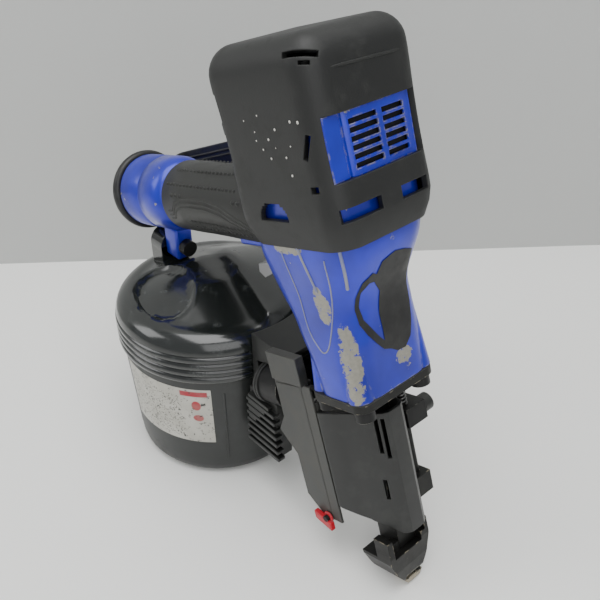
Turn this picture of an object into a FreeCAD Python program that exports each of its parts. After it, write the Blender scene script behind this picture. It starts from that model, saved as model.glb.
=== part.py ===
import FreeCAD, Part
import math
import os
import re
import Sketcher

# A high-pressure coil nailer standing on its drum and its nose tip. Millimetres, +Z up.
# The origin is the middle of the drum's flat base. Most pieces are drawn in the tool's own frame:
# nose tip at zero, +X to the front, +Z up the driver, leaning back by "lean" when placed.

SIZES = {
    # how the tool stands, and where the handle starts
    "lean": 18.4, "nose_reach": 172.7, "side_shift": -2.8,
    "handle_drop": 2.2, "handle_end_x": -171.0, "handle_end_z": 219.1,
    # housing barrel: half width, rear and front face and corner radius at each height
    "flange_bottom": 127.8, "flange_top": 136.0, "neck_height": 152.0, "taper_height": 166.0,
    "waist_height": 180.0, "chest_height": 200.0, "shoulder_height": 214.0, "housing_top": 262.0,
    "flange_rear": -14.0, "flange_front": 25.0, "flange_half": 26.0, "flange_corner": 7.0,
    "neck_rear": -16.0, "neck_front": 26.5, "neck_half": 26.5, "neck_corner": 9.0,
    "taper_rear": -22.0, "taper_front": 27.0, "taper_half": 24.5, "taper_corner": 14.0,
    "waist_rear": -30.0, "waist_front": 29.0, "waist_half": 25.0, "waist_corner": 18.0,
    "chest_rear": -31.0, "chest_front": 38.0, "chest_half": 28.0, "chest_corner": 16.0,
    "upper_rear": -27.0, "upper_front": 38.5, "upper_half": 28.0, "upper_corner": 12.0,
    # rear block of the casting, which carries the trigger valve
    "block_rear": -62.0, "block_bottom": 196.0, "block_top": 222.0, "block_half": 12.5,
    "ear_inner": 8.0, "ear_outer": 11.0, "ear_rear": -38.0, "ear_bottom": 184.0,
    # handle, measured from its end ring towards the barrel
    "flare_start": 3.4, "flare_end": 46.0, "flare_radius": 22.0, "flare_bore": 17.5,
    "core_radius": 17.0, "core_bore": 12.5, "core_end": 145.0, "end_wall": 9.0,
    "grip_start": 49.0, "grip_end": 136.0, "grip_radius": 20.0, "grip_cut_start": 108.0,
    "grip_fit": 0.1, "trigger_gap_half": 13.2,
    # magazine leg, upright behind the drum's middle
    "leg_x": -29.4, "leg_depth": 14.0, "leg_width": 12.0, "leg_bottom": 119.5, "leg_top": 141.0,
    "leg_bolt_z": 128.0, "leg_bolt_radius": 3.0, "leg_head_radius": 5.0, "leg_head_height": 5.0,
    "leg_nut_radius": 5.5, "leg_nut_height": 4.5,
    # driving parts along the tool's axis
    "sleeve_bore": 19.0, "sleeve_radius": 21.5, "sleeve_bottom": 160.0, "sleeve_top": 256.0,
    "chamber_radius": 21.6, "chamber_bottom": 137.0, "piston_radius": 18.95, "piston_bottom": 236.0,
    "piston_height": 12.0, "blade_radius": 3.2, "blade_tip": 78.0,
    "bumper_radius": 21.5, "bumper_bore": 6.0, "bumper_bottom": 137.2, "bumper_top": 159.8,
    "valve_ring_radius": 23.4, "valve_ring_bore": 15.0, "valve_ring_height": 9.0,
    "valve_seat_gap": 0.1, "valve_spring_radius": 20.0, "valve_spring_bore": 17.0,
    # top cap over the housing, its gasket and screws
    "gasket_height": 1.0, "cap_top": 281.0, "cap_bore": 23.6, "cap_bore_top": 277.0,
    "cap_screw_front": 31.0, "cap_screw_rear": -19.5, "cap_screw_half": 21.5,
    "cap_screw_radius": 2.5, "cap_head_radius": 4.25, "cap_head_height": 4.5, "cap_screw_depth": 26.0,
    # exhaust grille and the pocket behind it
    "grille_front": 40.45, "grille_half": 24.0, "grille_bottom": 235.6, "grille_top": 261.6,
    "slot_height": 2.0, "slot_pitch": 3.6, "slot_first": 238.2, "slot_right_start": -14.0,
    "slot_right_end": 1.8, "slot_left_start": 4.8, "slot_left_end": 17.3,
    "slots_in_column": 6, "pocket_depth": 5.0, "pocket_half": 18.0,
    # rubber cover
    "cover_rear": -30.5, "cover_front": 43.0, "cover_half": 32.0, "cover_bottom": 206.0,
    "cover_top": 295.0, "cover_corner": 15.0, "cover_top_corner": 13.0,
    "opening_half": 26.9, "opening_bottom": 235.2, "opening_top": 262.0, "window_inner": 6.2,
    "window_bottom": 218.6, "window_top": 224.6, "side_window_rear": -8.4, "side_window_front": 11.6,
    "side_window_bottom": 219.4, "side_window_top": 227.4,
    # nose plate, its gasket and bolts
    "plate_bottom": 123.0, "plate_top": 127.0, "bolt_front": 18.3, "bolt_rear": -8.0,
    "bolt_half": 19.5, "bolt_radius": 3.0, "bolt_head_radius": 5.0, "bolt_head_height": 6.0,
    "bolt_depth": 9.5, "bolt_fit": 0.05,
    # driver guide
    "guide_rear": -8.0, "guide_front": 6.5, "guide_half": 6.5, "guide_bottom": 14.0,
    "guide_bore": 3.7, "nail_slot_half": 3.9, "nail_slot_top": 96.0,
    # nail rail behind the guide
    "rail_rear": -56.0, "rail_inner": 4.6, "rail_outer": 8.6, "rail_bottom": 56.0, "rail_top": 122.8,
    # plastic nose cover
    "shroud_rear": -15.5, "shroud_side": -22.0, "shroud_front": 17.0, "shroud_nose_right": -5.0,
    "shroud_nose_left": 5.0, "shroud_left": 8.6, "shroud_wall": 2.0, "shroud_bottom": 40.0,
    "shroud_top": 110.0, "shroud_chamfer": 4.0,
    # feed door, its hinge and latch
    "door_outer": -22.0, "door_inner": -19.0, "door_arm_step": 0.5, "door_front": -25.0, "door_top": 142.0,
    "door_top_rear": -44.0, "door_mid_rear": -48.0, "door_mid_height": 124.0, "door_bulge": -55.0,
    "door_bulge_height": 92.0, "door_shelf": 100.0, "door_low_rear": -44.0, "door_low_height": 80.0,
    "door_bottom": 51.0,
    "door_guide_inner": -6.0, "door_guide_rear": -42.0,
    "door_guide_bottom": 58.0, "door_guide_top": 96.0, "hinge_x": -21.0, "hinge_y": -19.0,
    "hinge_pin_radius": 1.5, "knuckle_radius": 3.0, "hinge_fit": 0.05, "knuckle_low": 62.0,
    "knuckle_high": 104.0, "knuckle_length": 12.0, "hinge_gap": 0.4,
    "bracket_sheet": 2.4, "bracket_bend": -15.8, "bracket_inner": -9.0,
    "latch_x": -28.0, "latch_z": 43.0, "latch_length": 14.0, "latch_radius": 3.6,
    "latch_outer": -26.0, "latch_inner": -22.4, "latch_pin_radius": 1.8, "latch_tip_radius": 2.6,
    # feed cylinder beside the neck
    "feed_y": -12.0, "feed_z": 113.0, "feed_radius": 11.5, "feed_bore": 8.0, "feed_rear": -68.0,
    "feed_front": -49.2, "feed_wall": 2.4, "feed_cap_length": 4.0, "feed_piston_length": 5.0,
    "feed_piston_front": -52.5, "feed_rod_radius": 2.6, "feed_rod_front": -40.0,
    "feed_fit": 0.04, "pawl_pin_radius": 1.5, "pawl_x": -37.0, "pawl_length": 10.0,
    "pawl_half_height": 5.0, "fork_inner": 5.3, "fork_outer": 7.3, "pawl_tooth_inner": -4.4,
    # contact foot and its rod
    "foot_rear": -10.5, "foot_front": 11.5, "foot_right": -18.5, "foot_left": 11.5, "foot_top": 38.0,
    "foot_ear_inner": -14.4, "foot_notch_right": -15.0, "foot_notch_left": 5.5, "foot_notch_bottom": 26.0,
    "foot_bore": 4.0,
    "foot_fit": 0.4, "foot_floor": 4.4, "foot_arm_top": 57.0, "foot_block_bottom": 45.0,
    "foot_block_left": 26.0, "foot_travel": 8.0, "rod_x": 0.0, "rod_y": 21.0, "rod_radius": 2.0,
    "rod_top": 112.0, "bracket_bottom": 88.0, "bracket_top": 99.0, "bracket_front": 7.0,
    "bracket_half": 4.5, "dial_radius": 5.0, "dial_length": 6.0, "dial_z": 93.5, "dial_pin_radius": 2.0,
    "link_rear": -20.0, "link_front": -11.0, "link_inner": 29.0, "link_outer": 31.0, "link_top": 190.0,
    "contact_spring_radius": 3.0, "contact_spring_top": 122.6,
    # trigger and its valve
    "trigger_pin_x": -34.0, "trigger_pin_z": 188.5, "trigger_pin_radius": 1.5, "trigger_rear": -58.0,
    "trigger_bottom": 176.0, "trigger_half": 7.2, "valve_x": -46.0, "valve_body_radius": 6.0,
    "valve_body_bottom": 194.0, "valve_body_top": 212.0, "stem_radius": 2.0, "stem_bottom": 187.0,
    "stem_top": 206.0, "trigger_top": 186.6, "stem_bore_top": 209.0,
    # hook, end boss and plug, measured from the end ring
    "ring_rear": -3.0, "ring_front": 3.0, "ring_radius": 24.3, "boss_radius": 13.6, "ring_fit": 0.1,
    "boss_head_radius": 17.0, "boss_rear": -7.0, "hook_inner": 25.5, "hook_thickness": 3.5,
    "hook_bottom": 15.0, "hook_top": 32.0, "hook_start_bottom": -3.0, "hook_start_top": 14.0, "hook_bend": 20.0,
    "hook_end": 112.0, "hook_tip_thickness": 13.0,
    "hook_tip_length": 5.0, "plug_hex_radius": 8.5, "plug_hex_length": 4.0, "plug_radius": 6.0,
    "plug_length": 12.0, "plug_bore": 3.5,
    # drum
    "bowl_base_radius": 50.5, "bowl_low_radius": 55.4, "bowl_low_height": 6.0, "bowl_top": 79.2,
    "bowl_top_radius": 58.7, "bowl_wall": 2.6, "bowl_floor": 3.0, "mouth_right": -8.0,
    "mouth_left": 14.0, "mouth_bottom": 14.0, "canopy_bottom": 79.8, "canopy_radius": 60.8,
    "canopy_wall": 2.6, "canopy_rib_radius": 61.5, "canopy_rib_width": 2.2, "canopy_rib_pitch": 4.4,
    "canopy_rib_first": 83.0, "canopy_ribs": 4, "canopy_shoulder_low": 100.0, "canopy_shoulder": 107.5,
    "canopy_shoulder_radius": 57.4, "canopy_ring_radius": 50.1, "canopy_ring": 110.8,
    "canopy_cone_radius": 46.5, "canopy_flat_radius": 17.0, "canopy_flat": 121.0,
    "lug_rear": -48.5, "lug_bottom": 112.6, "lug_top": 133.0, "lug_half": 9.0, "lug_gap": 0.2,
    # neck between drum and nose
    "neck_start": 54.0, "neck_end": 89.0, "neck_right": -17.0, "neck_left": 30.0, "neck_roof": 113.0,
    "neck_floor": 80.0, "neck_wall": 3.0, "channel_right": -8.0, "channel_left": 14.0,
    "fin_start": 61.7, "fin_web": 1.8, "fin_end": 86.0, "fin_pitch": 5.2, "fin_first": 57.0, "fin_height": 2.2,
    "fins": 4, "fin_right": -24.0,
    # magazine hinge, nail platform and its post
    "mag_hinge_x": -6.0, "mag_hinge_y": 64.0, "mag_pin_radius": 2.0, "mag_knuckle_radius": 4.4,
    "mag_knuckle_bottom": 60.0, "mag_knuckle_top": 97.0, "post_radius": 6.0, "post_bore": 3.0,
    "post_top": 74.0, "platform_radius": 44.0, "platform_bottom": 26.0, "platform_height": 3.0,
    "platform_hub_radius": 9.0, "platform_hub_height": 14.0,
}

doc = FreeCAD.newDocument("coil_nailer")
sheet = doc.addObject("Spreadsheet::Sheet", "Sizes")
for row, (size_name, size_value) in enumerate(SIZES.items(), start=1):
    sheet.set(f"A{row}", size_name)
    sheet.set(f"B{row}", str(size_value))
    sheet.setAlias(f"B{row}", size_name)
doc.recompute()


def cells(formula):
    """A formula of size names, written as an expression on the sheet."""
    def to_cell(match):
        return "Sizes." + match.group(0) if match.group(0) in SIZES else match.group(0)
    return re.sub(r"[a-z][a-z_]*", to_cell, str(formula))


def value(formula):
    """The number that a formula of size names gives."""
    return float(sheet.evalExpression(cells(formula)))


def bind(thing, **formulas):
    for name, formula in formulas.items():
        thing.setExpression(name, cells(formula))
    return thing


def put(thing, x_at, y_at, z_at):
    for letter, formula in zip("xyz", (x_at, y_at, z_at)):
        thing.setExpression("Placement.Base." + letter, cells(formula))
    return thing


def box(x_range, y_range, z_range):
    solid = doc.addObject("Part::Box", "box")
    spans = [f"({high}) - ({low})" for low, high in (x_range, y_range, z_range)]
    bind(solid, Length=spans[0], Width=spans[1], Height=spans[2])
    return put(solid, x_range[0], y_range[0], z_range[0])


TURNS = {
    "x": FreeCAD.Rotation(FreeCAD.Vector(0, 1, 0), 90),
    "y": FreeCAD.Rotation(FreeCAD.Vector(1, 0, 0), -90),
    "z": FreeCAD.Rotation(),
}


def rod(axis, radius, span, centre):
    """A cylinder along an axis, from span[0] to span[1]; centre is its place on the other two."""
    solid = doc.addObject("Part::Cylinder", "rod")
    bind(solid, Radius=radius, Height=f"({span[1]}) - ({span[0]})")
    solid.Placement.Rotation = TURNS[axis]
    at = list(centre)
    at.insert("xyz".index(axis), span[0])
    return put(solid, *at)


def hexagon(axis, radius, span, centre):
    solid = doc.addObject("Part::Prism", "hexagon")
    solid.Polygon = 6
    bind(solid, Circumradius=radius, Height=f"({span[1]}) - ({span[0]})")
    solid.Placement.Rotation = TURNS[axis]
    at = list(centre)
    at.insert("xyz".index(axis), span[0])
    return put(solid, *at)


def join(*solids):
    fused = doc.addObject("Part::MultiFuse", "join")
    fused.Shapes = list(solids)
    fused.Refine = True
    return fused


def cut(base, *tools):
    for tool in tools:
        less = doc.addObject("Part::Cut", "cut")
        less.Base = base
        less.Tool = tool
        base = less
    return base


def common(first, second):
    both = doc.addObject("Part::Common", "common")
    both.Base = first
    both.Tool = second
    return both


def ring(axis, outer, inner, span, centre):
    return cut(rod(axis, outer, span, centre), rod(axis, inner, span, centre))


def origin_plane(body, role):
    return next(plane for plane in body.Origin.OriginFeatures if plane.Role == role)


def sketch_on(body, role, offset="0"):
    sketch = body.newObject("Sketcher::SketchObject", "outline")
    sketch.AttachmentSupport = [(origin_plane(body, role), "")]
    sketch.MapMode = "FlatFace"
    sketch.setExpression("AttachmentOffset.Base.z", cells(offset))
    return sketch


def draw_outline(sketch, points):
    """A closed outline whose corners are held by distances from the origin."""
    spots = [FreeCAD.Vector(value(across), value(up), 0) for across, up in points]
    for start, end in zip(spots, spots[1:] + spots[:1]):
        sketch.addGeometry(Part.LineSegment(start, end), False)
    count = len(spots)
    for index in range(count):
        sketch.addConstraint(Sketcher.Constraint("Coincident", index, 2, (index + 1) % count, 1))
    for index, (across, up) in enumerate(points):
        for kind, formula, number in (("DistanceX", across, spots[index].x), ("DistanceY", up, spots[index].y)):
            held = sketch.addConstraint(Sketcher.Constraint(kind, -1, 1, index, 1, number))
            sketch.setExpression(f"Constraints[{held}]", cells(formula))


def prism(role, points, span):
    """An outline on a plane, padded between two distances along the plane's normal."""
    body = doc.addObject("PartDesign::Body", "prism")
    sketch = sketch_on(body, role, span[0])
    draw_outline(sketch, points)
    pad = body.newObject("PartDesign::Pad", "pad")
    pad.Profile = sketch
    bind(pad, Length=f"({span[1]}) - ({span[0]})")
    return body


def turned(points):
    """A profile of radius and height, turned about Z."""
    body = doc.addObject("PartDesign::Body", "turned")
    sketch = sketch_on(body, "XZ_Plane")
    draw_outline(sketch, points)
    revolution = body.newObject("PartDesign::Revolution", "revolution")
    revolution.Profile = sketch
    revolution.ReferenceAxis = (sketch, ["V_Axis"])
    revolution.Angle = 360.0
    return body


def draw_rounded(sketch, rear, front, half, corner):
    """A rounded rectangle: four sides and four tangent corner arcs."""
    low_x, high_x, half_y, radius = (value(item) for item in (rear, front, half, corner))
    right = math.pi / 2
    centres = [(high_x - radius, half_y - radius, 0), (low_x + radius, half_y - radius, right),
               (low_x + radius, radius - half_y, 2 * right), (high_x - radius, radius - half_y, 3 * right)]
    ends = []
    for centre_x, centre_y, angle in centres:
        circle = Part.Circle(FreeCAD.Vector(centre_x, centre_y, 0), FreeCAD.Vector(0, 0, 1), radius)
        arc = Part.ArcOfCircle(circle, angle, angle + right)
        sketch.addGeometry(arc, False)
        ends.append((arc.StartPoint, arc.EndPoint))
    for index in range(4):
        start = ends[index][1]
        end = ends[(index + 1) % 4][0]
        sketch.addGeometry(Part.LineSegment(start, end), False)
    for index in range(4):
        sketch.addConstraint(Sketcher.Constraint("Tangent", index, 2, 4 + index, 1))
        sketch.addConstraint(Sketcher.Constraint("Tangent", 4 + index, 2, (index + 1) % 4, 1))
    for index in (1, 2, 3):
        sketch.addConstraint(Sketcher.Constraint("Equal", 0, index))
    sketch.addConstraint(Sketcher.Constraint("Horizontal", 4))
    sketch.addConstraint(Sketcher.Constraint("Vertical", 5))
    held = [
        (Sketcher.Constraint("Radius", 0, radius), corner),
        (Sketcher.Constraint("DistanceX", -1, 1, 5, 1, low_x), rear),
        (Sketcher.Constraint("DistanceX", -1, 1, 7, 1, high_x), front),
        (Sketcher.Constraint("DistanceY", -1, 1, 4, 1, half_y), half),
        (Sketcher.Constraint("DistanceY", -1, 1, 6, 1, -half_y), f"-({half})"),
    ]
    for constraint, formula in held:
        number = sketch.addConstraint(constraint)
        sketch.setExpression(f"Constraints[{number}]", cells(formula))


def rounded_block(rear, front, half, corner, span):
    body = doc.addObject("PartDesign::Body", "rounded_block")
    sketch = sketch_on(body, "XY_Plane", span[0])
    draw_rounded(sketch, rear, front, half, corner)
    pad = body.newObject("PartDesign::Pad", "pad")
    pad.Profile = sketch
    bind(pad, Length=f"({span[1]}) - ({span[0]})")
    return body


def frame(base, turn):
    spot = FreeCAD.Vector(*(value(item) for item in base))
    return FreeCAD.Placement(spot, FreeCAD.Rotation(FreeCAD.Vector(0, 1, 0), value(turn)))


DRUM = FreeCAD.Placement()
TOOL = frame(("nose_reach", "side_shift", "0"), "-lean")
HANDLE = TOOL.multiply(frame(("handle_end_x", "0", "handle_end_z"), "handle_drop"))

SUB_PARTS = []


def in_frame(place, *solids):
    group = doc.addObject("Part::Compound", "group")
    group.Links = list(solids)
    group.Placement = place
    return group


def sub_part(label, place, *solids):
    piece = in_frame(place, *solids)
    piece.Label = label
    SUB_PARTS.append(piece)
    return piece


# ---- housing: barrel, rear block, trigger ears, handle and magazine leg, one casting --------------

def barrel():
    body = doc.addObject("PartDesign::Body", "barrel")
    sections = []
    rows = (("flange", "flange_bottom"), ("flange", "flange_top"), ("neck", "neck_height"),
            ("taper", "taper_height"), ("waist", "waist_height"), ("chest", "chest_height"),
            ("upper", "shoulder_height"), ("upper", "housing_top"))
    for name, height in rows:
        sketch = sketch_on(body, "XY_Plane", height)
        draw_rounded(sketch, name + "_rear", name + "_front", name + "_half", name + "_corner")
        sections.append(sketch)
    loft = body.newObject("PartDesign::AdditiveLoft", "loft")
    loft.Profile = sections[0]
    loft.Sections = sections[1:]
    loft.Ruled = True
    return body


def at_bolts(make):
    places = [(x_at, side) for x_at in ("bolt_front", "bolt_rear") for side in ("", "-")]
    return [make(x_at, side + "bolt_half") for x_at, side in places]


def at_cap_screws(make):
    places = [(x_at, side) for x_at in ("cap_screw_front", "cap_screw_rear") for side in ("", "-")]
    return [make(x_at, side + "cap_screw_half") for x_at, side in places]


def housing():
    block = box(("block_rear", "-20"), ("-block_half", "block_half"), ("block_bottom", "block_top"))
    ears = [box(("ear_rear", "-26"), span, ("ear_bottom", "block_bottom + 2"))
            for span in (("ear_inner", "ear_outer"), ("-ear_outer", "-ear_inner"))]
    upper = cut(
        join(barrel(), block, *ears),
        rod("z", "chamber_radius", ("chamber_bottom", "housing_top + 1"), ("0", "0")),
        rod("z", "bumper_bore", ("flange_bottom - 1", "chamber_bottom + 1"), ("0", "0")),
        box(("upper_front - pocket_depth", "upper_front + 1"), ("-pocket_half", "pocket_half"),
            ("grille_bottom + 1.5", "grille_top - 1.5")),
        rod("y", "trigger_pin_radius + hinge_fit", ("-ear_outer - 1", "ear_outer + 1"),
            ("trigger_pin_x", "trigger_pin_z")),
        *at_bolts(lambda x_at, y_at: rod("z", "bolt_radius + bolt_fit",
                                         ("flange_bottom - 1", "plate_top + bolt_depth + 1"), (x_at, y_at))),
        *at_cap_screws(lambda x_at, y_at: rod("z", "cap_screw_radius + bolt_fit",
                                              ("cap_top - cap_screw_depth - 1", "housing_top + 1"), (x_at, y_at))),
    )
    core = rod("x", "core_radius", ("flare_start", "core_end"), ("0", "0"))
    flare = rod("x", "flare_radius", ("flare_start", "flare_end"), ("0", "0"))
    reservoir = rod("x", "core_bore", ("end_wall", "grip_cut_start - 2"), ("0", "0"))
    cup = rod("x", "flare_bore", ("end_wall", "flare_end - 5"), ("0", "0"))
    inlet = rod("x", "plug_radius", ("flare_start - 1", "end_wall + 1"), ("0", "0"))
    handle = in_frame(HANDLE, cut(join(core, flare), reservoir, cup, inlet))
    leg = box(("leg_x - leg_depth / 2", "leg_x + leg_depth / 2"),
              ("side_shift - leg_width / 2", "side_shift + leg_width / 2"), ("leg_bottom", "leg_top"))
    bolt_hole = rod("x", "leg_bolt_radius + bolt_fit", ("leg_x - leg_depth", "leg_x + leg_depth"),
                    ("side_shift", "leg_bolt_z"))
    casting = join(in_frame(TOOL, upper), cut(handle, in_frame(TOOL, inside_of_chamber())), cut(leg, bolt_hole))
    valve_hole = rod("z", "valve_body_radius", ("block_bottom - 1", "valve_body_top"), ("valve_x", "0"))
    return cut(casting, in_frame(TOOL, valve_hole))


def inside_of_chamber():
    return rod("z", "chamber_radius + 4", ("block_bottom - 10", "block_top + 10"), ("0", "0"))


sub_part("housing", DRUM, housing())

# ---- exhaust grille, top cap, gasket, screws and rubber cover --------------------------------------

def grille():
    panel = box(("upper_front", "grille_front"), ("-grille_half", "grille_half"), ("grille_bottom", "grille_top"))
    slots = []
    for step in range(int(SIZES["slots_in_column"])):
        low = f"slot_first + {step} * slot_pitch"
        for span in (("slot_right_start", "slot_right_end"), ("slot_left_start", "slot_left_end")):
            slots.append(box(("upper_front - 1", "grille_front + 1"), span, (low, f"{low} + slot_height")))
    return cut(panel, *slots)


sub_part("exhaust_grille", TOOL, grille())

CAP_PLAN = ("upper_rear", "upper_front", "upper_half", "upper_corner")


def screw_holes(radius, span):
    return at_cap_screws(lambda x_at, y_at: rod("z", radius, span, (x_at, y_at)))


sub_part("cap_gasket", TOOL, cut(
    rounded_block(*CAP_PLAN, ("housing_top", "housing_top + gasket_height")),
    rod("z", "cap_bore", ("housing_top - 1", "housing_top + 2"), ("0", "0")),
    *screw_holes("cap_screw_radius + bolt_fit", ("housing_top - 1", "housing_top + 2"))))
sub_part("top_cap", TOOL, cut(
    rounded_block(*CAP_PLAN, ("housing_top + gasket_height", "cap_top")),
    rod("z", "cap_bore", ("housing_top", "cap_bore_top"), ("0", "0")),
    *screw_holes("cap_screw_radius + bolt_fit", ("housing_top", "cap_top + 1"))))
sub_part("cap_screws", TOOL, *at_cap_screws(lambda x_at, y_at: join(
    rod("z", "cap_screw_radius", ("cap_top - cap_screw_depth", "cap_top + 1"), (x_at, y_at)),
    rod("z", "cap_head_radius", ("cap_top", "cap_top + cap_head_height"), (x_at, y_at)))))


def cover_shell():
    body = rounded_block("cover_rear", "cover_front", "cover_half", "cover_corner", ("cover_bottom", "cover_top"))
    doc.recompute()
    pad = body.Tip
    fillet = body.newObject("PartDesign::Fillet", "top_edge")
    top = [f"Edge{number}" for number, edge in enumerate(pad.Shape.Edges, start=1)
           if all(abs(vertex.Z - value("cover_top")) < 0.01 for vertex in edge.Vertexes)]
    fillet.Base = (pad, top)
    bind(fillet, Radius="cover_top_corner")
    inner = rounded_block("upper_rear - 0.2", "upper_front + 0.2", "upper_half + 0.2", "upper_corner",
                          ("cover_bottom - 1", "cap_top + cap_head_height + 1"))
    chest = box(("chest_rear - 1", "chest_front + 1"), ("-chest_half - 0.6", "chest_half + 0.6"),
                ("cover_bottom - 1", "shoulder_height + 1"))
    rear_gap = box(("cover_rear - 1", "upper_rear + 1"), ("-core_radius - 4.5", "core_radius + 4.5"),
                   ("cover_bottom - 1", "handle_end_z + 18"))
    front = ("upper_front - 2", "cover_front + 1")
    windows = [box(front, ("-opening_half", "opening_half"), ("opening_bottom", "opening_top"))]
    for span in (("window_inner", "opening_half - 1"), ("1 - opening_half", "-window_inner")):
        windows.append(box(front, span, ("window_bottom", "window_top")))
    for span in (("upper_half - 1", "cover_half + 1"), ("-cover_half - 1", "1 - upper_half")):
        windows.append(box(("side_window_rear", "side_window_front"), span,
                           ("side_window_bottom", "side_window_top")))
    return cut(body, inner, chest, rear_gap, *windows)


sub_part("rubber_cover", TOOL, cover_shell())

# ---- driving parts -----------------------------------------------------------------------------------

sub_part("cylinder_sleeve", TOOL, ring(
    "z", "sleeve_radius", "sleeve_bore", ("sleeve_bottom", "sleeve_top"), ("0", "0")))
sub_part("bumper", TOOL, ring("z", "bumper_radius", "bumper_bore", ("bumper_bottom", "bumper_top"), ("0", "0")))
sub_part("main_piston", TOOL, rod(
    "z", "piston_radius", ("piston_bottom", "piston_bottom + piston_height"), ("0", "0")))
sub_part("driver_blade", TOOL, rod("z", "blade_radius", ("blade_tip", "piston_bottom"), ("0", "0")))
VALVE_TOP = "sleeve_top + valve_seat_gap + valve_ring_height"
sub_part("head_valve", TOOL, cut(
    join(rod("z", "chamber_radius - 0.1", ("sleeve_top + valve_seat_gap", "housing_top + 3"), ("0", "0")),
         rod("z", "valve_ring_radius", ("housing_top + gasket_height + 0.1", VALVE_TOP), ("0", "0"))),
    rod("z", "valve_ring_bore", ("sleeve_top", "housing_top + 10"), ("0", "0"))))
sub_part("head_valve_spring", TOOL, ring(
    "z", "valve_spring_radius", "valve_spring_bore", (VALVE_TOP, "cap_bore_top - 0.1"), ("0", "0")))

# ---- nose: plate, gasket, bolts, driver guide, nail rail and cover -----------------------------------

PLATE_PLAN = ("flange_rear", "flange_front", "flange_half", "flange_corner")


def bolt_holes(span):
    return at_bolts(lambda x_at, y_at: rod("z", "bolt_radius + bolt_fit", span, (x_at, y_at)))


sub_part("nose_gasket", TOOL, cut(
    rounded_block(*PLATE_PLAN, ("plate_top", "flange_bottom")),
    rod("z", "bumper_bore", ("plate_top - 1", "flange_bottom + 1"), ("0", "0")),
    *bolt_holes(("plate_top - 1", "flange_bottom + 1"))))
sub_part("nose_plate", TOOL, cut(
    rounded_block(*PLATE_PLAN, ("plate_bottom", "plate_top")),
    rod("z", "guide_bore", ("plate_bottom - 1", "plate_top + 1"), ("0", "0")),
    *bolt_holes(("plate_bottom - 1", "plate_top + 1"))))
sub_part("flange_bolts", TOOL, *at_bolts(lambda x_at, y_at: cut(join(
    rod("z", "bolt_radius", ("plate_bottom - 1", "plate_top + bolt_depth"), (x_at, y_at)),
    rod("z", "bolt_head_radius", ("plate_bottom - bolt_head_height", "plate_bottom"), (x_at, y_at))),
    hexagon("z", "bolt_radius - 0.3", ("plate_bottom - bolt_head_height - 1", "plate_bottom - 3"), (x_at, y_at)))))
sub_part("driver_guide", TOOL, cut(
    box(("guide_rear", "guide_front"), ("-guide_half", "guide_half"), ("guide_bottom", "plate_bottom")),
    rod("z", "guide_bore", ("guide_bottom - 1", "plate_bottom + 1"), ("0", "0")),
    box(("guide_rear - 1", "0"), ("-nail_slot_half", "nail_slot_half"), ("guide_bottom - 1", "nail_slot_top"))))
sub_part("nail_rail", TOOL, box(
    ("rail_rear", "guide_rear"), ("rail_inner", "rail_outer"), ("rail_bottom", "rail_top")))
sub_part("nose_cover", TOOL, prism("XY_Plane", [
    ("shroud_rear", "shroud_side"),
    ("shroud_front", "shroud_nose_right"),
    ("shroud_front", "shroud_nose_left"),
    ("shroud_front - shroud_chamfer", "shroud_left"),
    ("guide_rear + 0.5", "shroud_left"),
    ("guide_rear + 0.5", "shroud_left - shroud_wall + 0.1"),
    ("shroud_front - shroud_chamfer - 1", "shroud_left - shroud_wall + 0.1"),
    ("shroud_front - shroud_wall", "shroud_nose_left - 0.8"),
    ("shroud_front - shroud_wall", "shroud_nose_right + 1.3"),
    ("shroud_rear", "shroud_side + 2.4"),
], ("shroud_bottom", "shroud_top")))

# ---- feed door with its hinge and latch --------------------------------------------------------------

HINGE = ("hinge_x", "hinge_y")
LATCH = ("latch_x", "latch_z")


def knuckle(low, high):
    return rod("z", "knuckle_radius", (low, high), HINGE)


def feed_door():
    # the plane's normal points to -Y, so the pad runs from the inner to the outer face
    panel = prism("XZ_Plane", [
        ("door_front", "door_top"), ("door_top_rear", "door_top"), ("door_mid_rear", "door_mid_height"),
        ("door_mid_rear", "door_shelf"), ("door_bulge", "door_bulge_height"), ("door_low_rear", "door_low_height"),
        ("door_low_rear", "door_bottom"), ("door_front - 6", "latch_z - 3"), ("door_front", "latch_z - 3"),
    ], ("-door_inner", "-door_outer"))
    guide = box(("door_guide_rear", "door_front - 2"), ("door_inner - 1", "door_guide_inner"),
                ("door_guide_bottom", "door_guide_top"))
    arms = []
    for low in ("knuckle_low", "knuckle_high"):
        high = f"{low} + knuckle_length"
        arms.append(knuckle(low, high))
        arms.append(box(("door_front - 1", "hinge_x"),
                        ("door_outer + door_arm_step", "hinge_y + door_arm_step"), (low, high)))
    pin_hole = rod("z", "hinge_pin_radius + hinge_fit", ("door_bottom", "door_top"), HINGE)
    latch_hole = rod("y", "latch_pin_radius", ("door_outer - 1", "door_inner + 1"), LATCH)
    return cut(join(panel, guide, *arms), pin_hole, latch_hole)


sub_part("feed_door", TOOL, feed_door())


def door_mount():
    """The fixed hinge bracket: knuckles between and outside the door's, on a web to the guide."""
    low = "knuckle_low + knuckle_length + hinge_gap"
    high = "knuckle_high - hinge_gap"
    sheet_steps = [
        (("hinge_x", "bracket_bend"), ("hinge_y", "hinge_y + bracket_sheet")),
        (("bracket_bend - bracket_sheet", "bracket_bend"), ("hinge_y", "bracket_inner")),
        (("bracket_bend - bracket_sheet", "guide_rear"), ("bracket_inner - bracket_sheet", "bracket_inner")),
        (("guide_rear - bracket_sheet", "guide_rear"), ("bracket_inner - bracket_sheet", "rail_inner")),
    ]
    fixed = [knuckle(low, high)] + [box(x_range, y_range, (low, high)) for x_range, y_range in sheet_steps]
    slot = box(("guide_rear - bracket_sheet - 1", "guide_rear + 1"),
               ("-nail_slot_half", "nail_slot_half"), (low, "nail_slot_top"))
    return cut(join(*fixed), rod("z", "hinge_pin_radius + hinge_fit", ("door_bottom", "door_top"), HINGE), slot)


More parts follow.
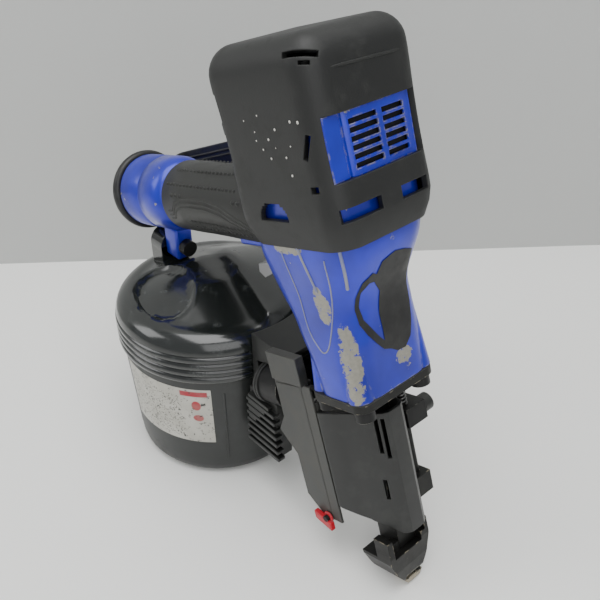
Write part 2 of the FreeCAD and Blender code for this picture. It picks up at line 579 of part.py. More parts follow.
sub_part("hinge_bracket", TOOL, door_mount())
sub_part("hinge_pin", TOOL, rod(
    "z", "hinge_pin_radius", ("knuckle_low - 1", "knuckle_high + knuckle_length + 1"), HINGE))
sub_part("latch_pin", TOOL, rod("y", "latch_pin_radius", ("latch_outer", "door_inner"), LATCH))
sub_part("door_latch", TOOL, cut(join(
    rod("y", "latch_radius", ("latch_outer", "latch_inner"), LATCH),
    box(("latch_x - latch_length", "latch_x"), ("latch_outer", "latch_inner"),
        ("latch_z - latch_tip_radius", "latch_z + latch_tip_radius")),
    rod("y", "latch_tip_radius + 1", ("latch_outer", "latch_inner"), ("latch_x - latch_length", "latch_z"))),
    rod("y", "latch_pin_radius + hinge_fit", ("latch_outer - 1", "latch_inner + 1"), LATCH)))

# ---- feeder ------------------------------------------------------------------------------------------

FEED = ("feed_y", "feed_z")
sub_part("feed_cylinder", TOOL, cut(
    join(rod("x", "feed_radius", ("feed_rear", "feed_front"), FEED),
         box(("feed_rear + 3", "feed_front"), ("feed_y", "rail_inner"), ("feed_z - 6", "feed_z + 6")),
         box(("rail_rear - 3", "rail_rear"), ("feed_y + 9", "rail_outer"), ("feed_z - 6", "feed_z + 6"))),
    rod("x", "feed_bore", ("feed_rear - 1", "feed_front - feed_wall"), FEED),
    rod("x", "feed_rod_radius + feed_fit", ("feed_rear", "feed_front + 4"), FEED)))
sub_part("feed_cap", TOOL, join(
    rod("x", "feed_radius + 0.8", ("feed_rear - feed_cap_length", "feed_rear"), FEED),
    rod("x", "feed_radius - 1.5", ("feed_rear - feed_cap_length - 1.5", "feed_rear - feed_cap_length + 1"), FEED)))
sub_part("feed_piston", TOOL, cut(
    join(rod("x", "feed_bore - feed_fit", ("feed_piston_front - feed_piston_length", "feed_piston_front"), FEED),
         rod("x", "feed_rod_radius", ("feed_piston_front - 1", "feed_rod_front"), FEED),
         box(("feed_rod_front - 2", "feed_rod_front"), ("feed_y - 3", "feed_y + 3"),
             ("feed_z - fork_outer", "feed_z + fork_outer")),
         box(("feed_rod_front - 1", "pawl_x + 3"), ("feed_y - 3", "feed_y + 3"),
             ("feed_z + fork_inner", "feed_z + fork_outer")),
         box(("feed_rod_front - 1", "pawl_x + 3"), ("feed_y - 3", "feed_y + 3"),
             ("feed_z - fork_outer", "feed_z - fork_inner"))),
    rod("z", "pawl_pin_radius", ("feed_z - fork_outer - 1", "feed_z + fork_outer + 1"), ("pawl_x", "feed_y"))))
sub_part("feed_spring", TOOL, ring(
    "x", "feed_bore - 0.6", "feed_bore - 2.4",
    ("feed_rear + 0.1", "feed_piston_front - feed_piston_length - 0.1"), FEED))
sub_part("pawl_pin", TOOL, rod(
    "z", "pawl_pin_radius", ("feed_z - fork_outer", "feed_z + fork_outer"), ("pawl_x", "feed_y")))
PAWL_HEIGHT = ("feed_z - pawl_half_height", "feed_z + pawl_half_height")
sub_part("feed_pawl", TOOL, cut(
    join(rod("z", "pawl_pin_radius + 1.2", PAWL_HEIGHT, ("pawl_x", "feed_y")),
         box(("pawl_x", "pawl_x + pawl_length"), ("feed_y - 1.6", "feed_y + 2"), PAWL_HEIGHT),
         box(("pawl_x + pawl_length - 3", "pawl_x + pawl_length"), ("feed_y", "pawl_tooth_inner"), PAWL_HEIGHT)),
    rod("z", "pawl_pin_radius + hinge_fit", ("feed_z - 9", "feed_z + 9"), ("pawl_x", "feed_y"))))

# ---- contact foot, rod, spring, link and depth dial ---------------------------------------------------

ROD = ("rod_x", "rod_y")


def contact_foot():
    front_view = prism("YZ_Plane", [
        ("foot_right", "foot_top"), ("foot_right", "24"), ("-14", "13"), ("-4.5", "0"),
        ("4.5", "0"), ("foot_left - 3", "12"), ("foot_left", "27"), ("foot_left", "foot_top"),
    ], ("foot_rear", "foot_front"))
    side_view = prism("XZ_Plane", [
        ("foot_rear", "foot_top"), ("foot_rear", "15"), ("-4", "1.4"), ("0", "0"), ("5", "0.5"),
        ("foot_front - 2", "16"), ("foot_front", "28"), ("foot_front", "foot_top"),
    ], ("-foot_left", "-foot_right"))
    shell = cut(
        common(front_view, side_view),
        box(("guide_rear - foot_fit", "guide_front + foot_fit"),
            ("-guide_half - foot_fit", "guide_half + foot_fit"), ("foot_floor", "foot_top + 1")),
        rod("z", "foot_bore", ("-1", "foot_floor + 1"), ("0", "0")),
        box(("guide_front", "foot_front + 1"), ("foot_notch_right", "foot_notch_left"),
            ("foot_notch_bottom", "foot_top + 1")),
        box(("foot_rear - 1", "1"), ("foot_right - 1", "guide_half + foot_fit"),
            ("foot_notch_bottom", "foot_top + 1")),
        box(("foot_rear - 1", "foot_front + 1"), ("foot_ear_inner", "shroud_left + foot_fit"),
            ("shroud_bottom - foot_travel - 1", "foot_top + 1")),
    )
    arm = box(("-6", "6"), ("shroud_left + foot_fit", "foot_left"), ("foot_notch_bottom", "foot_arm_top"))
    block = box(("-6", "6"), ("foot_left - 1", "foot_block_left"), ("foot_block_bottom", "foot_arm_top"))
    return cut(join(shell, arm, block), rod("z", "rod_radius", ("foot_block_bottom - 1", "foot_arm_top + 1"), ROD))


sub_part("contact_foot", TOOL, contact_foot())
sub_part("adjuster_rod", TOOL, rod("z", "rod_radius", ("foot_block_bottom", "rod_top"), ROD))
sub_part("contact_link", TOOL, cut(
    join(box(("-bracket_half", "bracket_front"), ("rod_y - bracket_half", "link_inner + 1"),
             ("bracket_bottom", "bracket_top")),
         box(("link_rear", "bracket_front"), ("link_inner", "link_outer"), ("bracket_bottom", "bracket_top")),
         box(("link_rear", "link_front"), ("link_inner", "link_outer"), ("bracket_bottom", "link_top"))),
    rod("z", "rod_radius", ("bracket_bottom - 1", "bracket_top + 1"), ROD)))
DIAL = ("bracket_front - 5", "dial_z")
sub_part("dial_pin", TOOL, rod("y", "dial_pin_radius", ("link_outer", "link_outer + dial_length + 0.6"), DIAL))
sub_part("depth_dial", TOOL, ring(
    "y", "dial_radius", "dial_pin_radius + hinge_fit", ("link_outer + 0.3", "link_outer + dial_length"), DIAL))
sub_part("contact_spring", TOOL, ring(
    "z", "contact_spring_radius", "rod_radius + 0.3", ("bracket_top + 0.1", "contact_spring_top"), ROD))

# ---- trigger and its valve ----------------------------------------------------------------------------

TRIGGER_PIN = ("trigger_pin_x", "trigger_pin_z")
VALVE = ("valve_x", "0")
sub_part("trigger", TOOL, cut(
    prism("XZ_Plane", [
        ("trigger_pin_x + 2.6", "trigger_pin_z + 2.4"), ("trigger_pin_x - 3", "trigger_pin_z + 2.4"),
        ("trigger_pin_x - 4", "trigger_top"), ("trigger_rear", "trigger_top - 3"),
        ("trigger_rear - 1", "trigger_bottom + 3"), ("trigger_rear + 3", "trigger_bottom"),
        ("trigger_pin_x - 9", "trigger_bottom + 5"), ("trigger_pin_x + 2.6", "trigger_pin_z - 3"),
    ], ("-trigger_half", "trigger_half")),
    rod("y", "trigger_pin_radius + hinge_fit", ("-ear_outer", "ear_outer"), TRIGGER_PIN)))
sub_part("trigger_pin", TOOL, rod("y", "trigger_pin_radius", ("-ear_outer", "ear_outer"), TRIGGER_PIN))
sub_part("trigger_valve_body", TOOL, cut(
    rod("z", "valve_body_radius", ("valve_body_bottom", "valve_body_top"), VALVE),
    rod("z", "stem_radius + hinge_fit", ("valve_body_bottom - 1", "stem_bore_top"), VALVE)))
sub_part("valve_stem", TOOL, rod("z", "stem_radius", ("stem_bottom", "stem_top"), VALVE))

# ---- grip, hook, end boss and plug, in the handle's frame ----------------------------------------------

AXIS = ("0", "0")
sub_part("grip_rubber", HANDLE, cut(
    rod("x", "grip_radius", ("grip_start", "grip_end"), AXIS),
    rod("x", "core_radius + grip_fit", ("grip_start - 1", "grip_end + 1"), AXIS),
    box(("grip_cut_start", "grip_end + 1"), ("-trigger_gap_half", "trigger_gap_half"), ("-grip_radius - 1", "0"))))
sub_part("inlet_boss", HANDLE, cut(
    join(rod("x", "boss_radius", ("boss_rear", "flare_start"), AXIS),
         rod("x", "boss_head_radius", ("boss_rear", "ring_rear - 0.4"), AXIS)),
    rod("x", "plug_radius", ("boss_rear - 1", "flare_start + 1"), AXIS)))
sub_part("hook", HANDLE, join(
    ring("x", "ring_radius", "boss_radius + ring_fit", ("ring_rear", "ring_front"), AXIS),
    prism("XZ_Plane", [
        ("ring_rear", "hook_start_bottom"), ("ring_rear", "hook_start_top"), ("hook_end", "hook_top"),
        ("hook_end", "hook_bottom"), ("hook_bend", "hook_start_bottom"),
    ], ("-hook_inner - hook_thickness", "-hook_inner")),
    box(("ring_rear", "ring_front"), ("boss_radius + 4", "hook_inner + 1"), ("hook_start_bottom", "hook_start_top")),
    box(("hook_end - hook_tip_length", "hook_end"),
        ("hook_inner + hook_thickness - hook_tip_thickness", "hook_inner + 1"), ("26", "hook_top"))))
sub_part("air_plug", HANDLE, cut(
    join(rod("x", "plug_radius", ("boss_rear - plug_hex_length - plug_length", "end_wall"), AXIS),
         hexagon("x", "plug_hex_radius", ("boss_rear - plug_hex_length", "boss_rear"), AXIS)),
    rod("x", "plug_bore", ("boss_rear - plug_hex_length - plug_length - 1", "end_wall + 1"), AXIS)))

# ---- drum: canopy with its lug, neck, bowl, hinge pin, platform and post --------------------------------

LEG_BOLT = ("side_shift", "leg_bolt_z")
LEG_REAR = "leg_x - leg_depth / 2"
LEG_FRONT = "leg_x + leg_depth / 2"
MAG_HINGE = ("mag_hinge_x", "mag_hinge_y")


def canopy():
    shell = turned([
        ("0", "canopy_flat"), ("canopy_flat_radius", "canopy_flat"), ("canopy_cone_radius", "canopy_ring"),
        ("canopy_ring_radius", "canopy_ring"), ("canopy_shoulder_radius", "canopy_shoulder"),
        ("canopy_radius", "canopy_shoulder_low"), ("canopy_radius", "canopy_bottom"),
        ("canopy_radius - canopy_wall", "canopy_bottom"),
        ("canopy_radius - canopy_wall", "canopy_shoulder_low - 1"),
        ("canopy_shoulder_radius - canopy_wall", "canopy_shoulder - 2"),
        ("canopy_ring_radius - 1", "canopy_ring - canopy_wall"),
        ("canopy_cone_radius", "canopy_ring - canopy_wall"),
        ("canopy_flat_radius", "canopy_flat - canopy_wall"), ("0", "canopy_flat - canopy_wall"),
    ])
    ribs = []
    for step in range(int(SIZES["canopy_ribs"])):
        low = f"canopy_rib_first + {step} * canopy_rib_pitch"
        ribs.append(ring("z", "canopy_rib_radius", "canopy_radius - 1", (low, f"{low} + canopy_rib_width"), AXIS))
    lug = cut(box(("lug_rear", LEG_REAR + " - lug_gap"), ("side_shift - lug_half", "side_shift + lug_half"),
                  ("lug_bottom", "lug_top")),
              rod("x", "leg_bolt_radius + bolt_fit", ("lug_rear - 1", "leg_x"), LEG_BOLT),
              hexagon("x", "leg_nut_radius + bolt_fit", ("lug_rear - 1", "lug_rear + leg_nut_height"), LEG_BOLT))
    mouth = box(("canopy_ring_radius", "canopy_radius + 2"), ("channel_right", "channel_left"),
                ("canopy_bottom - 1", "canopy_shoulder_low + 4"))
    hinge = join(rod("z", "mag_knuckle_radius", ("canopy_bottom", "mag_knuckle_top"), MAG_HINGE),
                 box(("mag_hinge_x - 4", "mag_hinge_x + 4"), ("canopy_radius - 1.6", "mag_hinge_y"),
                     ("canopy_bottom", "mag_knuckle_top")))
    pin_hole = rod("z", "mag_pin_radius", ("canopy_bottom - 1", "mag_knuckle_top - 3"), MAG_HINGE)
    return cut(join(shell, lug, hinge, *ribs), mouth, pin_hole)


sub_part("drum_canopy", DRUM, canopy())


def neck():
    outer = prism("XZ_Plane", [
        ("neck_start", "neck_floor"), ("neck_start", "neck_roof"), ("neck_end", "neck_roof"),
        ("neck_end - 6", "neck_floor"),
    ], ("-neck_left", "-neck_right"))
    channel = box(("neck_start - 1", "neck_end + 1"), ("channel_right", "channel_left"),
                  ("neck_floor - 1", "neck_roof - neck_wall"))
    drum_side = rod("z", "canopy_rib_radius + 0.1", ("neck_floor - 1", "neck_roof + 1"), AXIS)
    feeder_room = in_frame(TOOL, join(
        rod("x", "feed_radius + 1.4", ("feed_rear - feed_cap_length - 2", "feed_front + 12"), FEED),
        box(("feed_rear - 1", "feed_front + 12"), ("feed_y", "rail_outer + 1"), ("feed_z - 6.5", "feed_z + 6.5")),
        box(("rail_rear - 1", "0"), ("rail_inner - 1", "rail_outer + 1"), ("rail_bottom", "rail_top + 1"))))
    web = box(("fin_start", "fin_start + fin_web"), ("neck_right", "channel_right"), ("fin_first", "neck_roof"))
    fins = []
    for step in range(int(SIZES["fins"])):
        low = f"fin_first + {step} * fin_pitch"
        fins.append(box(("fin_start", "fin_end - 18 + 4 * " + str(step)), ("fin_right", "channel_right"),
                        (low, f"{low} + fin_height")))
    return cut(join(cut(outer, channel, drum_side), web, *fins), feeder_room)


sub_part("magazine_neck", DRUM, neck())


def bowl():
    shell = turned([
        ("0", "0"), ("bowl_base_radius", "0"), ("bowl_low_radius - 1.4", "bowl_low_height - 4.4"),
        ("bowl_low_radius", "bowl_low_height"), ("bowl_top_radius", "bowl_top"),
        ("bowl_top_radius - bowl_wall", "bowl_top"), ("bowl_low_radius - bowl_wall", "bowl_low_height"),
        ("bowl_base_radius - 1", "bowl_floor"), ("0", "bowl_floor"),
    ])
    mouth = box(("bowl_low_radius - 10", "bowl_top_radius + 3"), ("mouth_right", "mouth_left"),
                ("mouth_bottom", "bowl_top + 1"))
    hinge = join(rod("z", "mag_knuckle_radius", ("mag_knuckle_bottom", "bowl_top"), MAG_HINGE),
                 box(("mag_hinge_x - 4", "mag_hinge_x + 4"), ("bowl_top_radius - 2.2", "mag_hinge_y"),
                     ("mag_knuckle_bottom", "bowl_top")))
    pin_hole = rod("z", "mag_pin_radius + hinge_fit", ("mag_knuckle_bottom - 1", "bowl_top + 1"), MAG_HINGE)
    return cut(join(shell, hinge), mouth, pin_hole)


sub_part("drum_bowl", DRUM, bowl())
sub_part("magazine_pin", DRUM, rod("z", "mag_pin_radius", ("mag_knuckle_bottom", "mag_knuckle_top - 3"), MAG_HINGE))
sub_part("platform_post", DRUM, ring("z", "post_radius", "post_bore", ("bowl_floor", "post_top"), AXIS))
PLATFORM_BORE = "post_radius + 0.08"
sub_part("nail_platform", DRUM, cut(
    join(rod("z", "platform_radius", ("platform_bottom", "platform_bottom + platform_height"), AXIS),
         rod("z", "platform_hub_radius", ("platform_bottom", "platform_bottom + platform_hub_height"), AXIS)),
    rod("z", PLATFORM_BORE, ("platform_bottom - 1", "platform_bottom + platform_hub_height + 1"), AXIS)))

# ---- bolt and nut that hold the drum to the housing's leg ------------------------------------------------

sub_part("leg_bolt", DRUM, join(
    rod("x", "leg_bolt_radius", ("lug_rear + 0.5", LEG_FRONT), LEG_BOLT),
    rod("x", "leg_head_radius", (LEG_FRONT, LEG_FRONT + " + leg_head_height"), LEG_BOLT)))
sub_part("leg_nut", DRUM, cut(
    hexagon("x", "leg_nut_radius", ("lug_rear + bolt_fit", "lug_rear + leg_nut_height - bolt_fit"), LEG_BOLT),
    rod("x", "leg_bolt_radius", ("lug_rear - 1", "lug_rear + leg_nut_height + 1"), LEG_BOLT)))

# ---- check and write -------------------------------------------------------------------------------------

doc.recompute()
for thing in doc.Objects:
    if "Invalid" in thing.State or "Error" in thing.State:
        raise RuntimeError(f"{thing.Name} ({thing.Label}) failed: {thing.State}")
os.makedirs("parts", exist_ok=True)
for piece in SUB_PARTS:
    shape = piece.Shape
    if shape.isNull() or not shape.isValid() or shape.Volume < 1:
        raise RuntimeError(f"{piece.Label} has no sound shape")
    shape.exportStep(f"parts/{piece.Label}.step")
    print(piece.Label, len(shape.Solids), round(shape.Volume), [round(item, 1) for item in (
        shape.BoundBox.XMin, shape.BoundBox.XMax, shape.BoundBox.YMin,
        shape.BoundBox.YMax, shape.BoundBox.ZMin, shape.BoundBox.ZMax)])
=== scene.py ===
import math
import random

import bmesh
import bpy
from mathutils import Matrix, Vector
from mathutils.bvhtree import BVHTree


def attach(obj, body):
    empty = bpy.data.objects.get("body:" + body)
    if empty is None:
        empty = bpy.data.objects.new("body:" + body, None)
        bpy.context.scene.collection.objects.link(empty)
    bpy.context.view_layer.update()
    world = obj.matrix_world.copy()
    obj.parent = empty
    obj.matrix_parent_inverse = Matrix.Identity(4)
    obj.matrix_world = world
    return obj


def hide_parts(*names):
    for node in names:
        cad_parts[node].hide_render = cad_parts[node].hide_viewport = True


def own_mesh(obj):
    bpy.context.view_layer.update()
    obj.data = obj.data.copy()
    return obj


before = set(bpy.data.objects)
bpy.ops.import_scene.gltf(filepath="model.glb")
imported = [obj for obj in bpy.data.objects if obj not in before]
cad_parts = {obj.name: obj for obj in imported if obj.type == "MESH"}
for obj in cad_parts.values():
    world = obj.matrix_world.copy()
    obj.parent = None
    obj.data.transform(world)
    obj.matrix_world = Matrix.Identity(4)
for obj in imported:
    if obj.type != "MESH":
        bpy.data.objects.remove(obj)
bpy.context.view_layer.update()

# A high-pressure coil nailer, standing on its drum and its nose tip. Metres, +Z up, the drum's base at zero.
# Pieces are drawn in millimetres in the frame of what they belong to, and finishing puts them in place:
# TOOL has the nose tip at zero and +Z up the driver, HANDLE has +X from its rear end ring to the barrel.
TOOL = Matrix.Translation((172.7, -2.8, 0)) @ Matrix.Rotation(math.radians(-18.4), 4, "Y")
HANDLE = TOOL @ Matrix.Translation((-171.0, 0, 219.1)) @ Matrix.Rotation(math.radians(2.2), 4, "Y")
DRUM = Matrix.Identity(4)


# ---- Housing barrel ------------------------------------------------------------------------------
# The front of the one magnesium die casting: flange and bolt bosses below, waist, then a square chest.
# Its coat is metallic blue enamel, which years of knocks have worn to pale metal on edges and bosses.

def linear(hex_colour):
    """An sRGB hex colour as linear red, green, blue and alpha."""
    channels = [int(hex_colour[start:start + 2], 16) / 255 for start in (1, 3, 5)]
    return [c / 12.92 if c <= 0.04045 else ((c + 0.055) / 1.055) ** 2.4 for c in channels] + [1.0]


def new_material(name):
    material = bpy.data.materials.new(name)
    material.use_nodes = True
    return material, material.node_tree.nodes["Principled BSDF"]


def connect(material, node, links):
    for socket, source in links.items():
        if isinstance(source, bpy.types.NodeSocket):
            material.node_tree.links.new(source, node.inputs[socket])
        else:
            node.inputs[socket].default_value = source


def add(material, kind, links, **settings):
    """Adds a node with its settings; links gives each input a value or another node's output."""
    node = material.node_tree.nodes.new("ShaderNode" + kind)
    for name, setting in settings.items():
        setattr(node, name, setting)
    connect(material, node, links)
    return node


def speckle(material, grain_mm, detail=3.0, rough=0.55):
    """Noise with grains of the given size, as a number from 0 to 1."""
    place = add(material, "TexCoord", {})
    return add(material, "TexNoise", {"Vector": place.outputs["Object"], "Scale": 1000 / grain_mm,
                                      "Detail": detail, "Roughness": rough}).outputs["Fac"]


def between(material, amount, low, high):
    """0 below low, 1 above high, and a straight ramp from one to the other."""
    return add(material, "MapRange", {"Value": amount, "From Min": low, "From Max": high}).outputs["Result"]


def mixed(material, amount, first, second):
    """A colour that goes from the first to the second; each is a hex colour or a node's output."""
    ends = [linear(end) if isinstance(end, str) else end for end in (first, second)]
    return add(material, "Mix", {"Factor": amount, 6: ends[0], 7: ends[1]}, data_type="RGBA").outputs[2]


def combined(material, kind, first, second):
    """Two numbers added, multiplied or compared, kept between 0 and 1."""
    return add(material, "Math", {0: first, 1: second}, operation=kind, use_clamp=True).outputs[0]


def edges(material, radius_mm):
    """1 on sharp edges and 0 on the flats, from how far a rounded edge would turn there."""
    rounded = add(material, "Bevel", {"Radius": radius_mm / 1000}, samples=6)
    flat = add(material, "NewGeometry", {})
    turn = add(material, "VectorMath", {0: rounded.outputs["Normal"], 1: flat.outputs["Normal"]},
               operation="DOT_PRODUCT")
    return between(material, turn.outputs["Value"], 0.98, 0.82)


def added(material, first, second):
    """The sum of two numbers, which may pass 1 or fall below 0."""
    return add(material, "Math", {0: first, 1: second}, operation="ADD").outputs[0]


def near(material, place, centre, radii):
    """1 in the middle of an ellipsoid in a piece's own frame, falling to 0 at its skin."""
    into = (Matrix.Diagonal([1 / (radius * 0.001) for radius in radii] + [1])
            @ Matrix.Translation([-0.001 * part for part in centre])
            @ Matrix.Scale(0.001, 4) @ place.inverted() @ Matrix.Scale(1000, 4))
    rows = [add(material, "VectorMath", {0: add(material, "TexCoord", {}).outputs["Object"],
                                         1: into[row][:3]}, operation="DOT_PRODUCT").outputs["Value"]
            for row in range(3)]
    shifted = [added(material, rows[row], into[row][3]) for row in range(3)]
    spot = add(material, "CombineXYZ", dict(zip("XYZ", shifted)))
    length = add(material, "VectorMath", {0: spot.outputs[0]}, operation="LENGTH").outputs["Value"]
    return between(material, length, 1.0, 0.35)


def worn_coat(name, coat, bare, shade, roughness, metallic, edge_mm, wear, bald=(), chips_mm=7.0):
    """A coat over metal: rubbed through on edges, in chips and in bald spots, and slightly clouded."""
    material, shader = new_material(name)
    broken = between(material, speckle(material, 4.0), 0.62 - wear, 0.66 - wear * 0.6)
    worn = combined(material, "MULTIPLY", edges(material, edge_mm), broken)
    chips = between(material, speckle(material, chips_mm, 6.0, 0.62), 0.70 - wear * 0.22, 0.72 - wear * 0.22)
    worn = combined(material, "ADD", worn, chips)
    for place, centre, radii in bald:
        torn = between(material, speckle(material, 5.0, 9.0, 0.75), 0.36, 0.62)
        ragged = combined(material, "MULTIPLY", near(material, place, centre, radii), torn)
        worn = combined(material, "ADD", worn, between(material, ragged, 0.16, 0.20))
    clouded = mixed(material, between(material, speckle(material, 28.0), 0.35, 0.7), coat, shade)
    metal = mixed(material, speckle(material, 1.6, 6.0), bare, "#77756c")
    scuffed = between(material, speckle(material, 11.0, 8.0, 0.7), 0.4, 0.75)
    rough = add(material, "MapRange", {"Value": scuffed, "To Min": roughness, "To Max": roughness + 0.2})
    relief = combined(material, "SUBTRACT", speckle(material, 0.6, 2.0), worn)
    rounded = add(material, "Bevel", {"Radius": edge_mm * 0.0006}, samples=6)
    bump = add(material, "Bump", {"Height": relief, "Distance": 0.00006, "Strength": 0.5,
                                  "Normal": rounded.outputs["Normal"]})
    connect(material, shader, {"Base Color": mixed(material, worn, clouded, metal), "Metallic": metallic,
                               "Roughness": rough.outputs["Result"], "Normal": bump.outputs["Normal"]})
    return material, shader


def settle(name, bm, place, material, body="root", replaced=(), bevel=0.0, wall=0.0, crease=35):
    """Puts a mesh drawn in millimetres in its place, smooths it and rides it on its body."""
    bmesh.ops.remove_doubles(bm, verts=bm.verts[:], dist=0.002)
    bmesh.ops.transform(bm, matrix=Matrix.Scale(0.001, 4) @ place, verts=bm.verts[:])
    bmesh.ops.recalc_face_normals(bm, faces=bm.faces[:])
    for face in bm.faces:
        face.smooth = True
    for edge in bm.edges:
        sharp = len(edge.link_faces) == 2 and edge.calc_face_angle() > math.radians(crease)
        edge.smooth = bool(bevel) or not sharp
    mesh = bpy.data.meshes.new(name)
    bm.to_mesh(mesh)
    bm.free()
    mesh.materials.append(material)
    thing = bpy.data.objects.new(name, mesh)
    bpy.context.scene.collection.objects.link(thing)
    if wall:
        skin = thing.modifiers.new("wall", "SOLIDIFY")
        skin.thickness = wall / 1000
    if bevel:
        rounding = thing.modifiers.new("rounding", "BEVEL")
        rounding.width = bevel / 1000
        rounding.segments = 3
        rounding.angle_limit = math.radians(crease)
        rounding.harden_normals = True
    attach(thing, body)
    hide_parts(*replaced)
    return thing


def block(bm, low, high):
    """A box between two corners; its corners are returned for shaping."""
    middle = [(a + b) / 2 for a, b in zip(low, high)]
    size = [b - a for a, b in zip(low, high)]
    made = bmesh.ops.create_cube(bm, size=1, matrix=Matrix.Translation(middle) @ Matrix.Diagonal(size + [1]))
    return made["verts"]


ALONG = {"x": Matrix.Rotation(math.pi / 2, 4, "Y"), "y": Matrix.Rotation(-math.pi / 2, 4, "X"),
         "z": Matrix.Identity(4)}


def rod(bm, axis, radii, start, end, centre, segments=48):
    """A round bar or cone along an axis, from start to end; centre is its place on the other two."""
    spot = list(centre)
    spot.insert("xyz".index(axis), (start + end) / 2)
    bmesh.ops.create_cone(bm, cap_ends=True, segments=segments, radius1=radii[0], radius2=radii[1],
                          depth=end - start, matrix=Matrix.Translation(spot) @ ALONG[axis])


def section(bm, height, rear, front, half, corner):
    """A closed rounded rectangle at a height, as a loop of edges."""
    plan = ((rear, -half), (front, -half), (front, half), (rear, half))
    corners = [bm.verts.new((x, y, height)) for x, y in plan]
    sheet = bm.faces.new(corners)
    rounded = bmesh.ops.bevel(bm, geom=corners, offset=corner, segments=8, profile=0.5, affect="VERTICES",
                              material=-1)
    sheet = next(face for face in bm.faces if all(abs(v.co.z - height) < 0.001 for v in face.verts))
    loop = sheet.edges[:]
    bmesh.ops.delete(bm, geom=[sheet], context="FACES_ONLY")
    return loop


def loft(bm, rows):
    """Bridges rounded rectangles (height, rear, front, half width, corner) and closes both ends."""
    loops = [section(bm, *row) for row in rows]
    for low, high in zip(loops, loops[1:]):
        bmesh.ops.bridge_loops(bm, edges=low + high)
    for loop in (loops[0], loops[-1]):
        bmesh.ops.edgeloop_fill(bm, edges=loop)


def through(a, b, c, d, t):
    """The place at t from b to c, on a smooth curve through four numbers or points."""
    return 0.5 * (2 * b + (c - a) * t + (2 * a - 5 * b + 4 * c - d) * t * t
                  + (3 * b - a - 3 * c + d) * t ** 3)


def eased(rows, step):
    """Rows between the given ones, on a smooth curve through them, about every step millimetres."""
    out = []
    for index in range(len(rows) - 1):
        before, low, high, after = (rows[max(min(index + shift, len(rows) - 1), 0)]
                                    for shift in (-1, 0, 1, 2))
        parts = max(1, round((high[0] - low[0]) / step))
        for part in range(parts):
            out.append([through(a, b, c, d, part / parts) for a, b, c, d in zip(before, low, high, after)])
    return out + [list(rows[-1])]


blue_enamel, blue_shader = worn_coat(
    "metallic_blue_enamel", "#1a27bd", "#98958a", "#141f96", 0.30, 0.40, 1.5, 0.13,
    bald=[(TOOL, (21.0, -24.0, 148.0), (7.0, 7.0, 26.0)), (TOOL, (11.5, -25.5, 177.0), (6.0, 4.0, 12.0)),
          (TOOL, (0.0, -28.0, 205.5), (12.0, 4.0, 4.5)), (TOOL, (25.0, 6.0, 141.0), (3.0, 7.0, 5.0))])
connect(blue_enamel, blue_shader, {"Coat Weight": 0.4, "Coat Roughness": 0.15})

barrel = bmesh.new()
loft(barrel, [(127.8, -10.5, 25, 25.6, 12.5), (133.0, -11.0, 25, 25.6, 12.5)] + eased([
    (134.0, -11.1, 25.0, 25.6, 12.5), (145.0, -13.5, 25.4, 25.6, 13.0), (156.0, -18.0, 26.2, 25.2, 13.5),
    (167.0, -21.8, 26.6, 24.6, 14.0), (180.0, -29.4, 29.0, 25.0, 17.0), (200.0, -30.6, 37.5, 28.0, 15.5),
    (214.0, -27.5, 38.4, 28.0, 12.5)], 3.0) + [
    (220.0, -27.0, 38.5, 28.0, 12.0), (262.0, -27.0, 38.5, 28.0, 12.0)])
barrel_skin = BVHTree.FromBMesh(barrel)
for y_at in (19.5, -19.5):
    rod(barrel, "z", (6.7, 3.0), 127.9, 170.0, (18.2, y_at), 32)
    rod(barrel, "z", (5.6, 3.2), 127.9, 150.0, (-8.0, y_at), 32)
settle("housing_barrel", barrel, TOOL, blue_enamel, replaced=["housing"], crease=30)


# ---- Lines cast on the barrel --------------------------------------------------------------------
# Raised lines of the casting: a leaf outline on the right cheek and two ribs, worn through to bare metal.
# They stand under half a millimetre proud, so they are the first thing that rubs.

def bead(bm, points, radius):
    """A thin round line through the points."""
    for start, end in zip(points, points[1:]):
        start, end = Vector(start), Vector(end)
        turn = (end - start).to_track_quat("Z", "Y").to_matrix().to_4x4()
        bmesh.ops.create_cone(bm, cap_ends=False, segments=8, radius1=radius, radius2=radius,
                              depth=(end - start).length * 1.04,
                              matrix=Matrix.Translation((start + end) / 2) @ turn)


def on_skin(points, proud, parts=6):
    """Points along a smooth line through the given ones, laid on the barrel's skin."""
    line = []
    for index in range(len(points) - 1):
        a, b, c, d = (Vector(points[max(min(index + s, len(points) - 1), 0)]) for s in (-1, 0, 1, 2))
        for part in range(parts):
            place, normal, _, _ = barrel_skin.find_nearest(through(a, b, c, d, part / parts))
            line.append(place + normal * proud)
    return line


worn_edge, _ = worn_coat("enamel_worn_to_metal", "#8f9098", "#bcb8aa", "#6f76a8", 0.42, 0.5, 0.4, 0.3)
lines = bmesh.new()
LEAF = [(-4.8, -28.0, 203.3), (-4.1, -26.8, 192.3), (-3.8, -25.1, 180.5), (-3.1, -24.8, 164.0),
        (2.2, -26.1, 154.6), (6.0, -26.4, 152.4), (10.4, -25.9, 156.6), (15.0, -24.5, 168.0),
        (18.1, -24.0, 179.7), (21.9, -26.0, 191.3), (24.3, -27.4, 203.0)]
bead(lines, on_skin(LEAF, 0.05), 0.38)
bead(lines, on_skin([(7.6, -28.0, 207.7), (9.9, -27.3, 195.6), (11.4, -25.4, 182.9)], 0.05), 0.7)
bead(lines, on_skin([(32.5, -25.3, 206.9), (30.7, -23.6, 196.5), (26.4, -20.5, 184.4)], 0.1), 0.8)
settle("housing_cast_lines", lines, TOOL, worn_edge)

